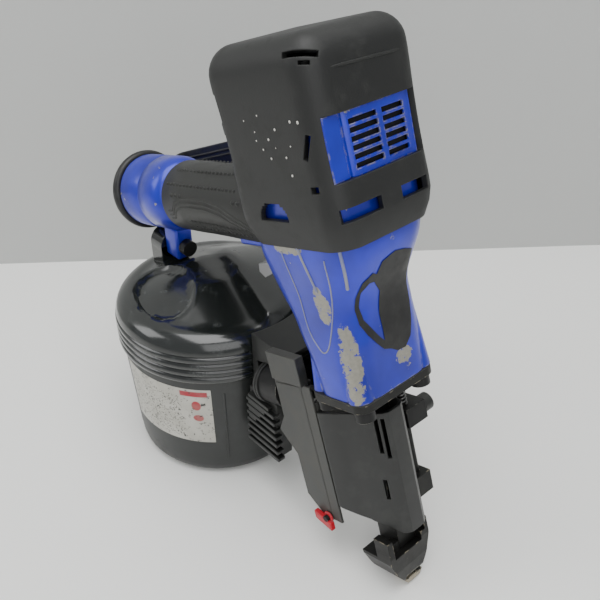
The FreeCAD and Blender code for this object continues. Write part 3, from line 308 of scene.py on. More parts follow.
# ---- Remains of the front pad --------------------------------------------------------------------
# A black adhesive pad once covered the barrel's front; half of it and a ring of its torn edge are left.
black_film, film_shader = new_material("black_adhesive_film")
film_rough = add(black_film, "MapRange", {"Value": speckle(black_film, 5.0, 6.0), "To Min": 0.35,
                                          "To Max": 0.7})
film_dust = between(black_film, speckle(black_film, 9.0, 8.0, 0.7), 0.5, 0.75)
connect(black_film, film_shader, {"Base Color": mixed(black_film, film_dust, "#0c0c0c", "#232321"),
                                  "Roughness": film_rough.outputs["Result"]})
random.seed(4)
pad = bmesh.new()


OUTER = [(15.2, 193.0), (15.4, 184.0), (15.2, 175.0), (14.8, 165.0), (13.4, 156.0), (11.8, 149.0),
         (8.0, 145.0), (2.5, 144.6), (-2.0, 147.5), (-6.5, 150.0), (-10.5, 155.0), (-14.5,
                                                                                    160.0), (-17.4, 167.0),
         (-17.8, 174.0), (-17.2, 180.0), (-15.2, 187.5), (-11.0, 190.0), (-8.0, 189.0), (-6.0, 194.0),
         (2.0, 196.0), (9.0, 195.0)]
INNER = [(-4.6, 179.0), (-8.5, 185.5), (-12.0, 186.0), (-14.6, 182.0), (-15.6, 175.0), (-14.8, 168.5),
         (-11.0, 161.5), (-7.5, 157.0), (-5.2, 154.0), (-5.0, 161.0), (-5.6, 168.0)]
RAGGED = 0.5
rims = []
for outline in (OUTER, INNER):
    rim = [pad.verts.new((0, y + random.uniform(-RAGGED, RAGGED), z + random.uniform(-RAGGED, RAGGED)))
           for y, z in outline]
    rims += [pad.edges.new(pair) for pair in zip(rim, rim[1:] + rim[:1])]
bmesh.ops.triangle_fill(pad, use_beauty=True, edges=rims)
for _ in range(3):
    bmesh.ops.subdivide_edges(pad, edges=pad.edges[:], cuts=1, use_grid_fill=True)
for vert in pad.verts:
    place, normal, _, _ = barrel_skin.ray_cast(Vector((60, vert.co.y, vert.co.z)), Vector((-1, 0, 0)))
    vert.co = place + normal * 0.3
settle("front_pad_remains", pad, TOOL, black_film)

# ---- Handle, drum leg and trigger block ----------------------------------------------------------
# The rear of the same casting: a flared handle end with a turned groove, the core inside the grip, the
# upright leg that the drum hangs on, and the block behind the barrel that holds the trigger valve.
handle = bmesh.new()


def turned(bm, outline, steps=96):
    """Spins (radius, height) pairs a full turn about +Z."""
    verts = [bm.verts.new((radius, 0, height)) for radius, height in outline]
    wires = [bm.edges.new(pair) for pair in zip(verts, verts[1:])]
    bmesh.ops.spin(bm, geom=verts + wires, cent=(0, 0, 0), axis=(0, 0, 1), dvec=(0, 0, 0),
                   angle=2 * math.pi, steps=steps, use_merge=True)


turned(handle, [(0, 3.4), (20.6, 3.4), (22.0, 5.0), (22.0, 23.0), (21.3, 24.2), (21.2, 25.6), (22.0, 27.0),
                (22.0, 40.0), (21.0, 44.5), (19.2, 47.5), (17.0, 48.5), (17.0, 145.0), (0, 145.0)])
bmesh.ops.transform(handle, matrix=HANDLE @ ALONG["x"], verts=handle.verts[:])
leg_corners = block(handle, (-36.4, -8.8, 119.5), (-22.4, 3.2, 141.0))
leg_edges = {edge for vert in leg_corners for edge in vert.link_edges}
bmesh.ops.bevel(handle, geom=list(leg_edges), offset=2.0, segments=4, profile=0.5, affect="EDGES",
                material=-1)
handle_block = bmesh.new()
for low, high in (((-62, -12.5, 196), (-20, 12.5, 222)), ((-38, -11, 184), (-26, -8, 198)),
                  ((-38, 8, 184), (-26, 11, 198))):
    block(handle_block, low, high)
settle("housing_handle", handle, DRUM, blue_enamel)
settle("housing_trigger_block", handle_block, TOOL, blue_enamel, bevel=1.5)

# ---- Exhaust grille ------------------------------------------------------------------------------
# A cast plate in the cover's opening: a flat strip and a groove on the right, then a raised field with two
# columns of slots. It is coated with the housing.

def cut_openings(bm, openings, place=Matrix.Identity(4)):
    """Cuts box-shaped openings, given as two corners in the frame of place, out of a skin."""
    bmesh.ops.transform(bm, matrix=place.inverted(), verts=bm.verts[:])
    for low, high in openings:
        for axis in range(3):
            across = Vector((axis == 0, axis == 1, axis == 2))
            for level in (low[axis], high[axis]):
                touched = [face for face in bm.faces
                           if all(min(vert.co[way] for vert in face.verts) < high[way]
                                  and max(vert.co[way] for vert in face.verts) > low[way]
                                  for way in range(3))]
                around = {part for face in touched for part in face.verts[:] + face.edges[:]}
                bmesh.ops.bisect_plane(bm, geom=touched + list(around), dist=0.001, plane_co=across * level,
                                       plane_no=across)
        inside = [face for face in bm.faces
                  if all(low[axis] < face.calc_center_median()[axis] < high[axis] for axis in range(3))]
        bmesh.ops.delete(bm, geom=inside, context="FACES")
    bmesh.ops.transform(bm, matrix=place, verts=bm.verts[:])


grille = bmesh.new()
facing = Matrix.Translation((39.4, 0, 248.6)) @ Matrix.Rotation(math.pi / 2, 4, "Y")
bmesh.ops.create_grid(grille, x_segments=1, y_segments=1, size=1,
                      matrix=facing @ Matrix.Translation((0, -2.2, 0)) @ Matrix.Diagonal((13.4, 24.6, 1, 1)))
cut_openings(grille, [((38, start, 238.2 + row * 3.6), (41, end, 240.4 + row * 3.6))
                      for row in range(6) for start, end in ((-14.0, 1.8), (4.8, 17.3))])
for level, across in ((-18.8, 0), (-15.6, 0), (20.2, 0)):
    bmesh.ops.bisect_plane(grille, geom=grille.verts[:] + grille.edges[:] + grille.faces[:], dist=0.0001,
                           plane_co=(0, level, 0), plane_no=(0, 1, 0))
raised = [face for face in grille.faces if -15.6 < face.calc_center_median().y < 20.2]
for vert in {vert for face in raised for vert in face.verts}:
    if -15.5 < vert.co.y < 20.1:
        vert.co.x += 1.0
groove = [face for face in grille.faces if -18.8 < face.calc_center_median().y < -15.6]
bmesh.ops.inset_region(grille, faces=groove, thickness=0.5, depth=-1.2)
bmesh.ops.solidify(grille, geom=grille.faces[:], thickness=-1.0)
settle("exhaust_grille_plate", grille, TOOL, blue_enamel, replaced=["exhaust_grille"],
       bevel=0.25)
# Behind the slots lies a flat near-black sheet of painted shade, standing in for the dark hollow inside the
# head.
hollow_shade_black, hollow_shade_shader = new_material("painted_shade_black")
connect(hollow_shade_black, hollow_shade_shader, {
    "Base Color": mixed(hollow_shade_black, speckle(hollow_shade_black, 3.0), "#070707", "#121212"), "Roughness": 0.8})
shade_sheet = bmesh.new()
bmesh.ops.create_grid(shade_sheet, x_segments=2, y_segments=2, size=1,
                      matrix=Matrix.Translation((38.7, 1.6, 248.2)) @ ALONG["x"]
                      @ Matrix.Diagonal((11.4, 17.4, 1, 1)))
settle("painted_shade_behind_grille", shade_sheet, TOOL, hollow_shade_black)

# ---- Rubber cover --------------------------------------------------------------------------------
# A thick moulded rubber boot pulled over the head: it has the exhaust opening and two slots in front, and
# small cut-outs at the sides. It is matt black, scuffed grey, torn near the top and flecked with paint.

def moulded(name, colour, scuffed, roughness, grain_mm, bump_mm, scuff_mm=14.0, scuffs=0.5, edge_mm=0.8,
            rub=0.5):
    """Rubber or plastic out of a mould: one colour through, its skin scuffed paler and duller."""
    material, shader = new_material(name)
    patches = between(material, speckle(material, scuff_mm, 9.0, 0.68), 0.62 - scuffs * 0.2,
                      0.80 - scuffs * 0.1)
    broken = between(material, speckle(material, 6.0), 0.7 - rub, 0.9 - rub)
    rubbed = combined(material, "MULTIPLY", edges(material, edge_mm), broken)
    dull = combined(material, "MAXIMUM", patches, rubbed)
    rough = add(material, "MapRange", {"Value": dull, "To Min": roughness,
                                       "To Max": min(roughness + 0.25, 0.95)})
    rounded = add(material, "Bevel", {"Radius": edge_mm * 0.001}, samples=6)
    bump = add(material, "Bump", {"Height": speckle(material, grain_mm, 2.0), "Distance": bump_mm / 1000,
                                  "Strength": 0.6, "Normal": rounded.outputs["Normal"]})
    colour = mixed(material, dull, colour, scuffed)
    connect(material, shader, {"Base Color": colour, "Roughness": rough.outputs["Result"],
                               "Normal": bump.outputs["Normal"]})
    return material, shader


cover_rubber, _ = moulded("moulded_black_rubber", "#121312", "#262725", 0.52, 0.8, 0.08)
cover = bmesh.new()
block(cover, (-30.5, -32, 206), (43, 32, 295))
upright = [edge for edge in cover.edges if abs(edge.verts[0].co.z - edge.verts[1].co.z) > 1]
bmesh.ops.bevel(cover, geom=upright, offset=12.5, segments=9, profile=0.5, affect="EDGES", material=-1)
top_edges = [edge for edge in cover.edges if all(vert.co.z > 294.9 for vert in edge.verts)]
bmesh.ops.bevel(cover, geom=top_edges, offset=13, segments=8, profile=0.5, affect="EDGES", material=-1)
bmesh.ops.delete(cover, geom=[face for face in cover.faces if all(vert.co.z < 206.1 for vert in face.verts)],
                 context="FACES")
grid = [(2, level) for level in range(212, 282, 6)]
grid += [(0, level) for level in range(-16, 34, 10)]
grid += [(1, level) for level in (-14, 0, 14)]
for axis, level in grid:
    across = Vector((axis == 0, axis == 1, axis == 2))
    bmesh.ops.bisect_plane(cover, geom=cover.verts[:] + cover.edges[:] + cover.faces[:], dist=0.001,
                           plane_co=across * level, plane_no=across)
cut_openings(cover, [
    ((36, -26.9, 235.2), (44, 26.9, 262.0)), ((36, -27.5, 218.6), (44, -5.5, 224.6)),
    ((36, 6.6, 218.6), (44, 23.5, 224.6)), ((-31, -21.5, 205), (-27, 21.5, 237.0)),
    ((-28.0, -33, 263.0), (-21.0, -28, 276.0)), ((-27.0, -33, 243.0), (-22.5, -28, 258.0)),
    ((31.0, -33, 232.5), (35.0, -29, 235.5))])
for step in range(6):
    half = 10.0 * math.sqrt(1 - (step / 6) ** 2)
    low, high = 219.4 + step * 1.33, 220.8 + step * 1.33
    cut_openings(cover, [((1.6 - half, side - 1, low), (1.6 + half, side + 1, high)) for side in (-32, 32)])
for start, end, width in (((30.0, -31.0, 287.6), (41.4, -22.0, 285.0), 2.6),
                          ((36.5, -29.0, 283.6), (40.0, -26.0, 282.8), 1.6),
                          ((35.4, -31.0, 256.4), (31.6, -32.0, 246.4), 2.4)):
    along = Vector(end) - Vector(start)
    out = Vector((0.55, -0.75, 0.35 if start[2] > 270 else 0.0))
    across = along.cross(out).normalized()
    out = across.cross(along).normalized()
    tear = Matrix((along.normalized(), across, out)).transposed().to_4x4()
    cut_openings(cover, [((0, -width / 2, -5), (along.length, width / 2, 5))],
                 Matrix.Translation(start) @ tear)
for vert in cover.verts:
    low = max(0, (221 - vert.co.z) / 15)
    waist = 0.5 * math.sin(math.pi * min(1, max(0, (vert.co.z - 221) / 55)))
    middle = vert.co.x - 6
    vert.co.x -= math.copysign(1, middle) * (3.4 * low * low + waist) * min(1, abs(middle) / 30)
    vert.co.y -= math.copysign(1, vert.co.y) * (3.2 * low * low + waist) * min(1, abs(vert.co.y) / 26)
settle("rubber_cover_boot", cover, TOOL, cover_rubber, replaced=["rubber_cover"],
       wall=2.8,
       bevel=0.9, crease=45)

# ---- Marks on the cover --------------------------------------------------------------------------
# A raised flash line from the mould across the front, and flecks of white paint from the jobs it has done.
flash = bmesh.new()
bead(flash, [(42.1, -22, 279.6), (42.9, -14, 279.4), (42.9, 14, 278.6), (42.1, 22, 278.4)], 0.7)
settle("cover_flash_line", flash, TOOL, cover_rubber)
paint, paint_shader = new_material("dried_white_paint")
connect(paint, paint_shader, {"Base Color": mixed(paint, speckle(paint, 0.5), "#d8d6cf", "#a9a79f"),
                              "Roughness": 0.6})
flecks = bmesh.new()
for x_at, z_at, size in (
        (27, 262.4, 0.55), (31.8, 261.9, 0.6), (16.1, 259.6, 0.5), (10.4, 255.6, 0.5), (1.8, 255.3, 0.35),
        (5.2, 251.4, 0.4), (9.4, 247.5, 0.45), (19.7, 247.9, 0.45), (20.9, 240.3, 0.5), (6.1, 265.8, 0.35),
        (14.0, 252.0, 0.25), (24.0, 252.5, 0.3), (2.0, 259.0, 0.3), (-4.0, 264.0, 0.3)):
    flattened = Matrix.Translation((x_at, -31.75, z_at)) @ Matrix.Diagonal((1, 0.6, 1.2, 1))
    bmesh.ops.create_icosphere(flecks, subdivisions=2, radius=size, matrix=flattened)
settle("cover_paint_flecks", flecks, TOOL, paint)

# ---- Grip ----------------------------------------------------------------------------------------
# A moulded elastomer sleeve over the handle core, with rows of pips on top, raised arcs round the palm
# panel, and a serrated belly. It is drawn a full turn round; the trigger block hides its front end.
grip_elastomer, _ = moulded("soft_grip_elastomer", "#181917", "#2b2c29", 0.48, 0.6, 0.06)
grip = bmesh.new()
turned(grip, [(17.3, 49.2), (18.6, 49.0), (20.0, 51.0), (20.0, 70.0), (19.7, 84.0), (19.7, 100.0),
              (20.0, 116.0), (20.0, 134.0),
              (19.0, 136.0), (17.3, 136.0)])
bmesh.ops.transform(grip, matrix=ALONG["x"], verts=grip.verts[:])


def on_grip(along, turn, proud=0.0):
    """A point on the grip's skin; turn is in degrees from the left side up and over."""
    radius = 20.0 + proud
    return Vector((along, radius * math.cos(math.radians(turn)), radius * math.sin(math.radians(turn))))


for row, first, last, pitch in ((116, 58, 118, 3.6), (143, 56, 124, 3.4)):
    for turn in (row, 180 - row):
        for step in range(int((last - first) / pitch)):
            bmesh.ops.create_icosphere(grip, subdivisions=1, radius=0.9,
                                       matrix=Matrix.Translation(on_grip(first + step * pitch, turn)))
for along in (62, 66, 70, 121, 125.4):
    for turn in (160, 20):
        bmesh.ops.create_icosphere(grip, subdivisions=2, radius=1.3,
                                   matrix=Matrix.Translation(on_grip(along, turn, -0.2)))
for drop in (0, 7, 14):
    for side in (0, 1):
        arc = [(56, 188), (60, 186), (64, 172), (70, 165), (80, 163), (95, 163), (108, 168), (120, 180),
               (130, 190), (135.5, 196)]
        bead(grip, [on_grip(along, side * 180 + (1 - 2 * side) * (turn + drop), -0.2) for along,
                    turn in arc], 0.55)
for step in range(16):
    for side in (0, 1):
        turns = [side * 180 + (1 - 2 * side) * turn for turn in (201, 211)]
        bead(grip, [on_grip(76 + step * 3.4, turns[0], 0.0), on_grip(79 + step * 3.4, turns[1], 0.0)], 0.8)
settle("grip_sleeve", grip, HANDLE, grip_elastomer, replaced=["grip_rubber"])

# ---- Hook ----------------------------------------------------------------------------------------
# A swivelling hook: a thick moulded ring round the handle's end, clamped by the inlet boss, with a long
# flat arm that runs forward beside the handle and turns in at its tip.
hook_nylon, _ = moulded("black_hook_nylon", "#151515", "#333331", 0.42, 0.7, 0.04)
hook = bmesh.new()
turned(hook, [(14.0, -2.6), (14.4, -3.0), (20.5, -3.0), (22.6, -2.6), (23.9, -1.4), (24.3, 0.2), (24.0, 1.8),
              (23.0, 2.8),
              (21.8, 3.0), (14.4, 3.0), (14.0, 2.6), (14.0, -2.6)])
bmesh.ops.transform(hook, matrix=ALONG["x"], verts=hook.verts[:])


def slab(bm, outline, start, thickness):
    """A flat plate across the tool: its (x, z) outline at y = start, made thicker towards the left."""
    face = bm.faces.new([bm.verts.new((x, start, z)) for x, z in outline])
    made = bmesh.ops.extrude_face_region(bm, geom=[face])
    far = [item for item in made["geom"] if isinstance(item, bmesh.types.BMVert)]
    bmesh.ops.translate(bm, vec=(0, thickness, 0), verts=far)


slab(hook, ((-3, -3), (-3, 14), (4, 16), (112, 32), (112, 15), (20, -3)), 25.5, 3.5)
block(hook, (-3, 19, -3), (3, 27, 13.8))
block(hook, (107, 16.2, 26.4), (112, 27, 32))
for lift in (4.2, 7.0):
    bead(hook, [(8, 25.4, 16 - lift + 0.6), (110, 25.4, 31.7 - lift)], 0.5)
    bead(hook, [(8, 29.0, 16 - lift + 0.6), (110, 29.0, 31.7 - lift)], 0.5)
settle("swivel_hook", hook, HANDLE, hook_nylon, body="hook", replaced=["hook"], bevel=0.8,
       crease=40)

# ---- Drum canopy ---------------------------------------------------------------------------------
# The drum's fixed upper shell, moulded in glossy smoke polycarbonate: four ribs, a rolled shoulder, a
# shallow cone with a flat crown, a dished thumb window on the right and a raised roof towards the nose.
smoke, smoke_shader = moulded("smoke_polycarbonate", "#191c1b", "#383b3a", 0.17, 0.9, 0.008, scuff_mm=10.0,
                              scuffs=0.35, rub=0.2)
connect(smoke, smoke_shader, {"Coat Weight": 0.5, "Coat Roughness": 0.13})
canopy = bmesh.new()
profile = [(0, 121.0), (4.0, 121.0), (8.0, 121.0), (12.0, 121.0), (16.0, 120.9), (17.6, 120.5)]
profile += [(17.6 + 28.4 * step / 9, 120.5 - 9.6 * step / 9) for step in range(1, 10)]
profile += [(48.6, 110.6), (51.0, 110.4), (53.4, 109.6), (56.4, 107.9), (58.6, 105.6), (60.1, 102.8),
            (60.7, 100.0)]
profile += [(59.7 + 1.7 * abs(math.sin(math.pi * step / 8)) ** 0.5, 99.0 - 4.75 * step / 8)
            for step in range(33)]
profile += [(59.7, 79.8)]
turned(canopy, profile, 144)
LOWER_LINE = [(-60, 12), (-41, 11), (-2.4, 8.1), (21, -0.9), (43.6, -5.6), (62, -8)]
UPPER_LINE = [(-60, 30), (-28.5, 27), (0, 19), (18.2, 12.9), (45.1, 4.4), (62, 0)]


def on_line(line, x):
    for (x0, y0), (x1, y1) in zip(line, line[1:]):
        if x0 <= x <= x1:
            return y0 + (y1 - y0) * (x - x0) / (x1 - x0)
    return line[-1][1]


for vert in canopy.verts:
    x, y = vert.co.x, vert.co.y
    low_y, high_y = on_line(LOWER_LINE, x), on_line(UPPER_LINE, x)
    raised = max(0, min(1, (y - low_y) / (high_y - low_y)))
    radius = math.hypot(x, y)
    fade = max(0, min(1, (56 - radius) / 6)) * max(0, min(1, (x + 34) / 20))
    vert.co.z += 3.2 * raised * raised * (3 - 2 * raised) * fade
    along, across = (x + 8) * 0.955 - (y + 30) * 0.296, (x + 8) * 0.296 + (y + 30) * 0.955
    inside = math.hypot(along / 27, across / 17.5)
    if inside < 1 and vert.co.z > 105:
        vert.co.z -= 2.6 * min(1, (1 - inside) / 0.14)
    elif inside < 1.12 and vert.co.z > 105:
        vert.co.z += 0.5 * (1.12 - inside) / 0.12
cut_openings(canopy, [((50, -8, 79), (63, 14, 104))])
bmesh.ops.recalc_face_normals(canopy, faces=canopy.faces[:])
bmesh.ops.solidify(canopy, geom=canopy.faces[:], thickness=2.4)
block(canopy, (-48.5, -11.8, 108.0), (-36.6, 6.2, 124.0))
rod(canopy, "x", (9, 9), -48.5, -36.6, (-2.8, 124.0))
rod(canopy, "z", (4.4, 4.4), 79.8, 97.0, (-6, 64), 32)
block(canopy, (-10, 59.2, 79.8), (-2, 64, 97))
settle("drum_canopy_shell", canopy, DRUM, smoke, replaced=["drum_canopy"],
       crease=50)

# ---- Drum bowl -----------------------------------------------------------------------------------
# The lower shell, which swings open on the far side to load a coil: dark grey nylon, rubbed along its wall.
bowl_nylon, _ = moulded("dark_grey_nylon", "#232524", "#363837", 0.40, 0.6, 0.04)
bowl = bmesh.new()
turned(bowl, [(0.001, 0), (44.0, 0), (48.5, 0.6), (52.0, 2.6), (54.2, 5.6), (55.0, 9.0), (55.6, 16),
              (56.32, 30), (57.35, 50), (58.28, 68),
              (58.6, 74.3), (58.7, 79.2)], 144)
cut_openings(bowl, [((44, -8, 14), (62, 14, 80))])
bmesh.ops.recalc_face_normals(bowl, faces=bowl.faces[:])
bmesh.ops.solidify(bowl, geom=bowl.faces[:], thickness=2.6)
rod(bowl, "z", (4.4, 4.4), 60.0, 79.2, (-6, 64), 32)
block(bowl, (-10, 56.5, 60.0), (-2, 64, 79.2))
SEAM = math.radians(-33)
bead(bowl, [(54.0 * math.cos(SEAM) * out, 54.0 * math.sin(SEAM) * out, z)
            for out, z in ((1.04, 16), (1.062, 40), (1.079, 70))], 0.5)
settle("drum_bowl_shell", bowl, DRUM, bowl_nylon, body="drum_bowl", replaced=["drum_bowl"],
       crease=50)

# ---- Label on the bowl ---------------------------------------------------------------------------
# A printed film label, kept generic: a red heading bar and two red marks with no lettering, half rubbed away.
BOWL_FLARE = 0.0515
LABEL_STANDS_OFF = 0.12
label_film, label_shader = new_material("worn_label_film")
label = bmesh.new()
label.loops.layers.uv.new("label")
bmesh.ops.create_grid(label, x_segments=40, y_segments=12, size=0.5, calc_uvs=True)
for vert in label.verts:
    angle, height = math.radians(-104 + 63.5 * (vert.co.x + 0.5)), 30.0 + 44.0 * (vert.co.y + 0.5)
    radius = 55.6 + (height - 16) * BOWL_FLARE + LABEL_STANDS_OFF
    vert.co = (radius * math.cos(angle), radius * math.sin(angle), height)


def bar(material, u_low, u_high, v_low, v_high):
    """1 inside a rectangle of the label and 0 outside."""
    spot = add(material, "SeparateXYZ", {0: add(material, "UVMap", {}, uv_map="label").outputs[0]})
    sides = [between(material, spot.outputs[0], u_low, u_low + 0.01),
             between(material, spot.outputs[0], u_high, u_high - 0.01),
             between(material, spot.outputs[1], v_low, v_low + 0.015),
             between(material, spot.outputs[1], v_high, v_high - 0.015)]
    inside = sides[0]
    for side in sides[1:]:
        inside = combined(material, "MULTIPLY", inside, side)
    return inside


def disc(material, u_at, v_at, u_radius, v_radius):
    """1 inside an oval of the label and 0 outside."""
    spot = add(material, "UVMap", {}, uv_map="label")
    shifted = add(material, "VectorMath", {0: spot.outputs[0], 1: (u_at, v_at, 0)}, operation="SUBTRACT")
    scaled = add(material, "VectorMath", {0: shifted.outputs[0], 1: (1 / u_radius, 1 / v_radius, 1)},
                 operation="MULTIPLY")
    away = add(material, "VectorMath", {0: scaled.outputs[0]}, operation="LENGTH")
    return between(material, away.outputs["Value"], 1.1, 0.9)


printed = mixed(label_film, bar(label_film, 0.70, 0.97, 0.86, 0.965), "#b9b7ae", "#a01c2c")
for mark in ((0.85, 0.70, 0.045, 0.085), (0.86, 0.47, 0.05, 0.06)):
    printed = mixed(label_film, disc(label_film, *mark), printed, "#a8202f")
flakes = between(label_film, speckle(label_film, 3.2, 9.0, 0.75), 0.575, 0.60)
specks = between(label_film, speckle(label_film, 1.1, 2.0), 0.58, 0.62)
marks = combined(label_film, "MULTIPLY", specks, bar(label_film, 0.02, 0.70, 0.06, 0.86))
printed = mixed(label_film, marks, printed, "#4b4b46")
grime = combined(label_film, "MULTIPLY", between(label_film, speckle(label_film, 12.0, 6.0), 0.4, 0.7), 0.4)
grimy = mixed(label_film, grime, printed, "#8f8c80")
connect(label_film, label_shader, {"Base Color": mixed(label_film, flakes, grimy, "#2b2c2b"),
                                   "Roughness": 0.45})
settle("bowl_label", label, DRUM, label_film, body="drum_bowl")

# ---- Nose cover ----------------------------------------------------------------------------------
# A plastic shell round the driver guide, open to the rear left: soft upright creases, two tall slots near
# the top, a small window lower down, and a lower edge that slants up towards the door.
nose_nylon, _ = moulded("glass_filled_nylon", "#151615", "#2e2f2d", 0.38, 0.5, 0.04, scuffs=0.6)
nose = bmesh.new()
plan = [(-16.5, -22.6), (-14.5, -22.4), (-6.0, -18.2), (-1.0, -15.3), (0.5, -14.9), (13.5, -7.6),
        (15.2, -6.4), (17.0, -4.2), (17.2, 0), (17.0, 4.6), (15.0, 7.6), (12.0, 8.6), (-7.5, 8.6)]
foot_line = [nose.verts.new((x, y, 40 + min(7, max(0, (9.2 - x) * 0.8)) + 0.45 * max(0, 0.4 - x))) if y < 0
             else nose.verts.new((x, y, 40)) for x, y in plan]
wires = [nose.edges.new(pair) for pair in zip(foot_line, foot_line[1:])]
made = bmesh.ops.extrude_edge_only(nose, edges=wires)
upper = [item for item in made["geom"] if isinstance(item, bmesh.types.BMVert)]
for vert in upper:
    vert.co.z = 112.0
FACE = Matrix.Translation((-15.5, -22.0, 0)) @ Matrix.Rotation(math.atan2(17.0, 32.5), 4, "Z")
cut_openings(nose, [((29.0, -3, 89), (31.2, 3, 109)), ((32.6, -3, 86), (34.6, 3, 109)),
                    ((27.2, -3, 61), (29.4, 3, 73))], FACE)
bmesh.ops.recalc_face_normals(nose, faces=nose.faces[:])
bmesh.ops.solidify(nose, geom=nose.faces[:], thickness=2.0)
settle("nose_cover_shell", nose, TOOL, nose_nylon, replaced=["nose_cover"],
       bevel=0.6, crease=30)

# ---- Feed door -----------------------------------------------------------------------------------
# The side door over the nail path: a moulded plate with a boxed head, which swings out on two knuckles.
door = bmesh.new()
plate = [(-25, 128), (-25, 42), (-27, 40), (-31, 40), (-44, 52), (-44, 78), (-55, 91), (-48, 101),
         (-47.5, 128)]
slab(door, plate, -22.4, 3.4)
block(door, (-46.5, -24.4, 126), (-22, -19, 142))
block(door, (-42, -20, 58), (-27, -6, 96))
for low in (62, 104):
    block(door, (-26, -21.5, low), (-21, -18.6, low + 12))
    rod(door, "z", (3, 3), low, low + 12, (-21, -19), 32)
block(door, (-26, -22.4, 42), (-18, -21.0, 126))
bead(door, [(-26, -22.5, 124.5), (-46, -22.5, 122.5)], 0.35)
door_nylon, _ = moulded("worn_door_nylon", "#2a2b29", "#484743", 0.40, 0.5, 0.04, scuffs=0.9)
settle("feed_door_plate", door, TOOL, door_nylon, body="feed_door", replaced=["feed_door"],
       bevel=0.7, crease=30)

# ---- Door latch ----------------------------------------------------------------------------------
# A red moulded catch on the door's lower end, turned with a finger to free the door.
red_plastic, _ = moulded("red_plastic", "#b01224", "#7c2630", 0.3, 0.6, 0.02)
latch = bmesh.new()
rod(latch, "y", (3.4, 3.4), -24.0, -22.6, (-28, 43), 32)
wing = block(latch, (-37, -26, 36.0), (-24.5, -22.7, 41.2))
for vert in wing:
    vert.co.z += (vert.co.x + 24.5) * -0.35
settle("door_latch_catch", latch, TOOL, red_plastic, body="door_latch", replaced=["door_latch"],
       bevel=0.9)

# ---- Feeder, neck and dial -----------------------------------------------------------------------
# Moulded nylon: the ribbed cap of the feed cylinder, the channel from the drum to the nose, and the dial.
feeder = bmesh.new()
turned(feeder, [(0.001, 0), (9.4, 0), (9.8, 0.4), (9.8, 1.8), (11.0, 2.0), (11.0, 3.0), (12.4, 3.2),
                (12.4, 4.6), (11.6, 4.8), (11.6, 5.6), (12.4, 5.8), (12.4, 7.0), (10, 7.2)], 64)
bmesh.ops.transform(feeder, matrix=Matrix.Translation((-72.2, -12, 113)) @ ALONG["x"], verts=feeder.verts[:])
settle("feed_cylinder_cap", feeder, TOOL, nose_nylon, replaced=["feed_cap"])
fins = bmesh.new()
block(fins, (60, -21, 36), (84, -10, 78))
for row in range(7):
    block(fins, (59.8, -24.2, 38 + row * 5.2), (88 - row * 0.6, -19, 40.4 + row * 5.2))
settle("feeder_finned_body", fins, DRUM, nose_nylon, bevel=0.5)


def finish_node(node, material):
    """Gives a CAD piece, which keeps its shape, its material."""
    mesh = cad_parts[node].data
    mesh.materials.clear()
    mesh.materials.append(material)


for node in ("magazine_neck", "depth_dial"):
    finish_node(node, nose_nylon)

# ---- Springs -------------------------------------------------------------------------------------
# Wound spring steel wire: the safety rod's spring beside the nose, which shortens as the foot is pushed in on
# the real tool; here it is drawn at one length.
bright_steel, _ = worn_coat("ground_steel", "#8e8e8e", "#777570", "#7d7d7c", 0.3, 1.0, 0.5, 0.1)


def coil(bm, radius, wire, start, end, turns):
    """A helix of round wire about +Z."""
    first = Matrix.Translation((radius, 0, start + wire)) @ Matrix.Rotation(math.pi / 2, 4, "X")
    ring = bmesh.ops.create_circle(bm, cap_ends=False, segments=8, radius=wire, matrix=first)["verts"]
    ring_edges = list({edge for vert in ring for edge in vert.link_edges})
    steps = turns * 20
    bmesh.ops.spin(bm, geom=ring + ring_edges, cent=(0, 0, 0), axis=(0, 0, 1),
                   dvec=(0, 0, (end - start - 2 * wire) / steps), angle=2 * math.pi * turns, steps=steps)


spring = bmesh.new()
coil(spring, 2.6, 0.4, 99.1, 122.6, 11)
bmesh.ops.transform(spring, matrix=Matrix.Translation((0, 21, 0)), verts=spring.verts[:])
spring_wire = settle("contact_rod_spring", spring, TOOL, bright_steel, replaced=["contact_spring"])
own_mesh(spring_wire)

feed_coil = bmesh.new()
coil(feed_coil, 6.6, 0.5, 0.1, 10.3, 3)
bmesh.ops.transform(feed_coil, matrix=Matrix.Translation((-68, -12, 113)) @ ALONG["x"],
                    verts=feed_coil.verts[:])
feed_wire = settle("feed_return_spring", feed_coil, TOOL, bright_steel, replaced=["feed_spring"])
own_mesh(feed_wire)

# ---- Top cap, seals and plastics inside ----------------------------------------------------------
finish_node("top_cap", blue_enamel)
acetal, _ = moulded("natural_acetal", "#d8d4c8", "#b8b2a2", 0.4, 0.6, 0.02)
for node in ("nail_platform", "platform_post"):
    finish_node(node, acetal)
seal_rubber, _ = moulded("seal_rubber", "#1b1b1b", "#2c2c2c", 0.6, 0.6, 0.03)
for node in ("bumper", "cap_gasket", "nose_gasket", "head_valve"):
    finish_node(node, seal_rubber)

# ---- Metals --------------------------------------------------------------------------------------
black_steel, _ = worn_coat("black_oxide_steel", "#1d1d1d", "#7c7a74", "#262626", 0.42, 0.6, 0.8, 0.12)
for node in ("flange_bolts", "cap_screws", "leg_bolt", "leg_nut", "latch_pin", "hinge_bracket",
             "contact_link", "dial_pin"):
    finish_node(node, black_steel)
foot_steel, _ = worn_coat("black_coated_steel", "#1c1c1b", "#b5a88e", "#262624", 0.40, 0.55, 1.0, 0.08,
                          bald=[(TOOL, (5.0, -3.5, 0.0), (14.0, 14.0, 6.5))])
for node in ("contact_foot", "nose_plate", "adjuster_rod", "driver_guide", "nail_rail"):
    finish_node(node, foot_steel)
for node in ("driver_blade", "hinge_pin", "trigger_pin", "magazine_pin", "pawl_pin", "feed_pawl",
             "valve_stem", "head_valve_spring", "air_plug"):
    finish_node(node, bright_steel)
alloy, _ = worn_coat("machined_aluminium", "#9a9a9c", "#8b8a88", "#8f8f90", 0.34, 1.0, 0.5, 0.1)
for node in ("cylinder_sleeve", "main_piston", "feed_piston", "inlet_boss", "trigger"):
    finish_node(node, alloy)
finish_node("feed_cylinder", black_steel)
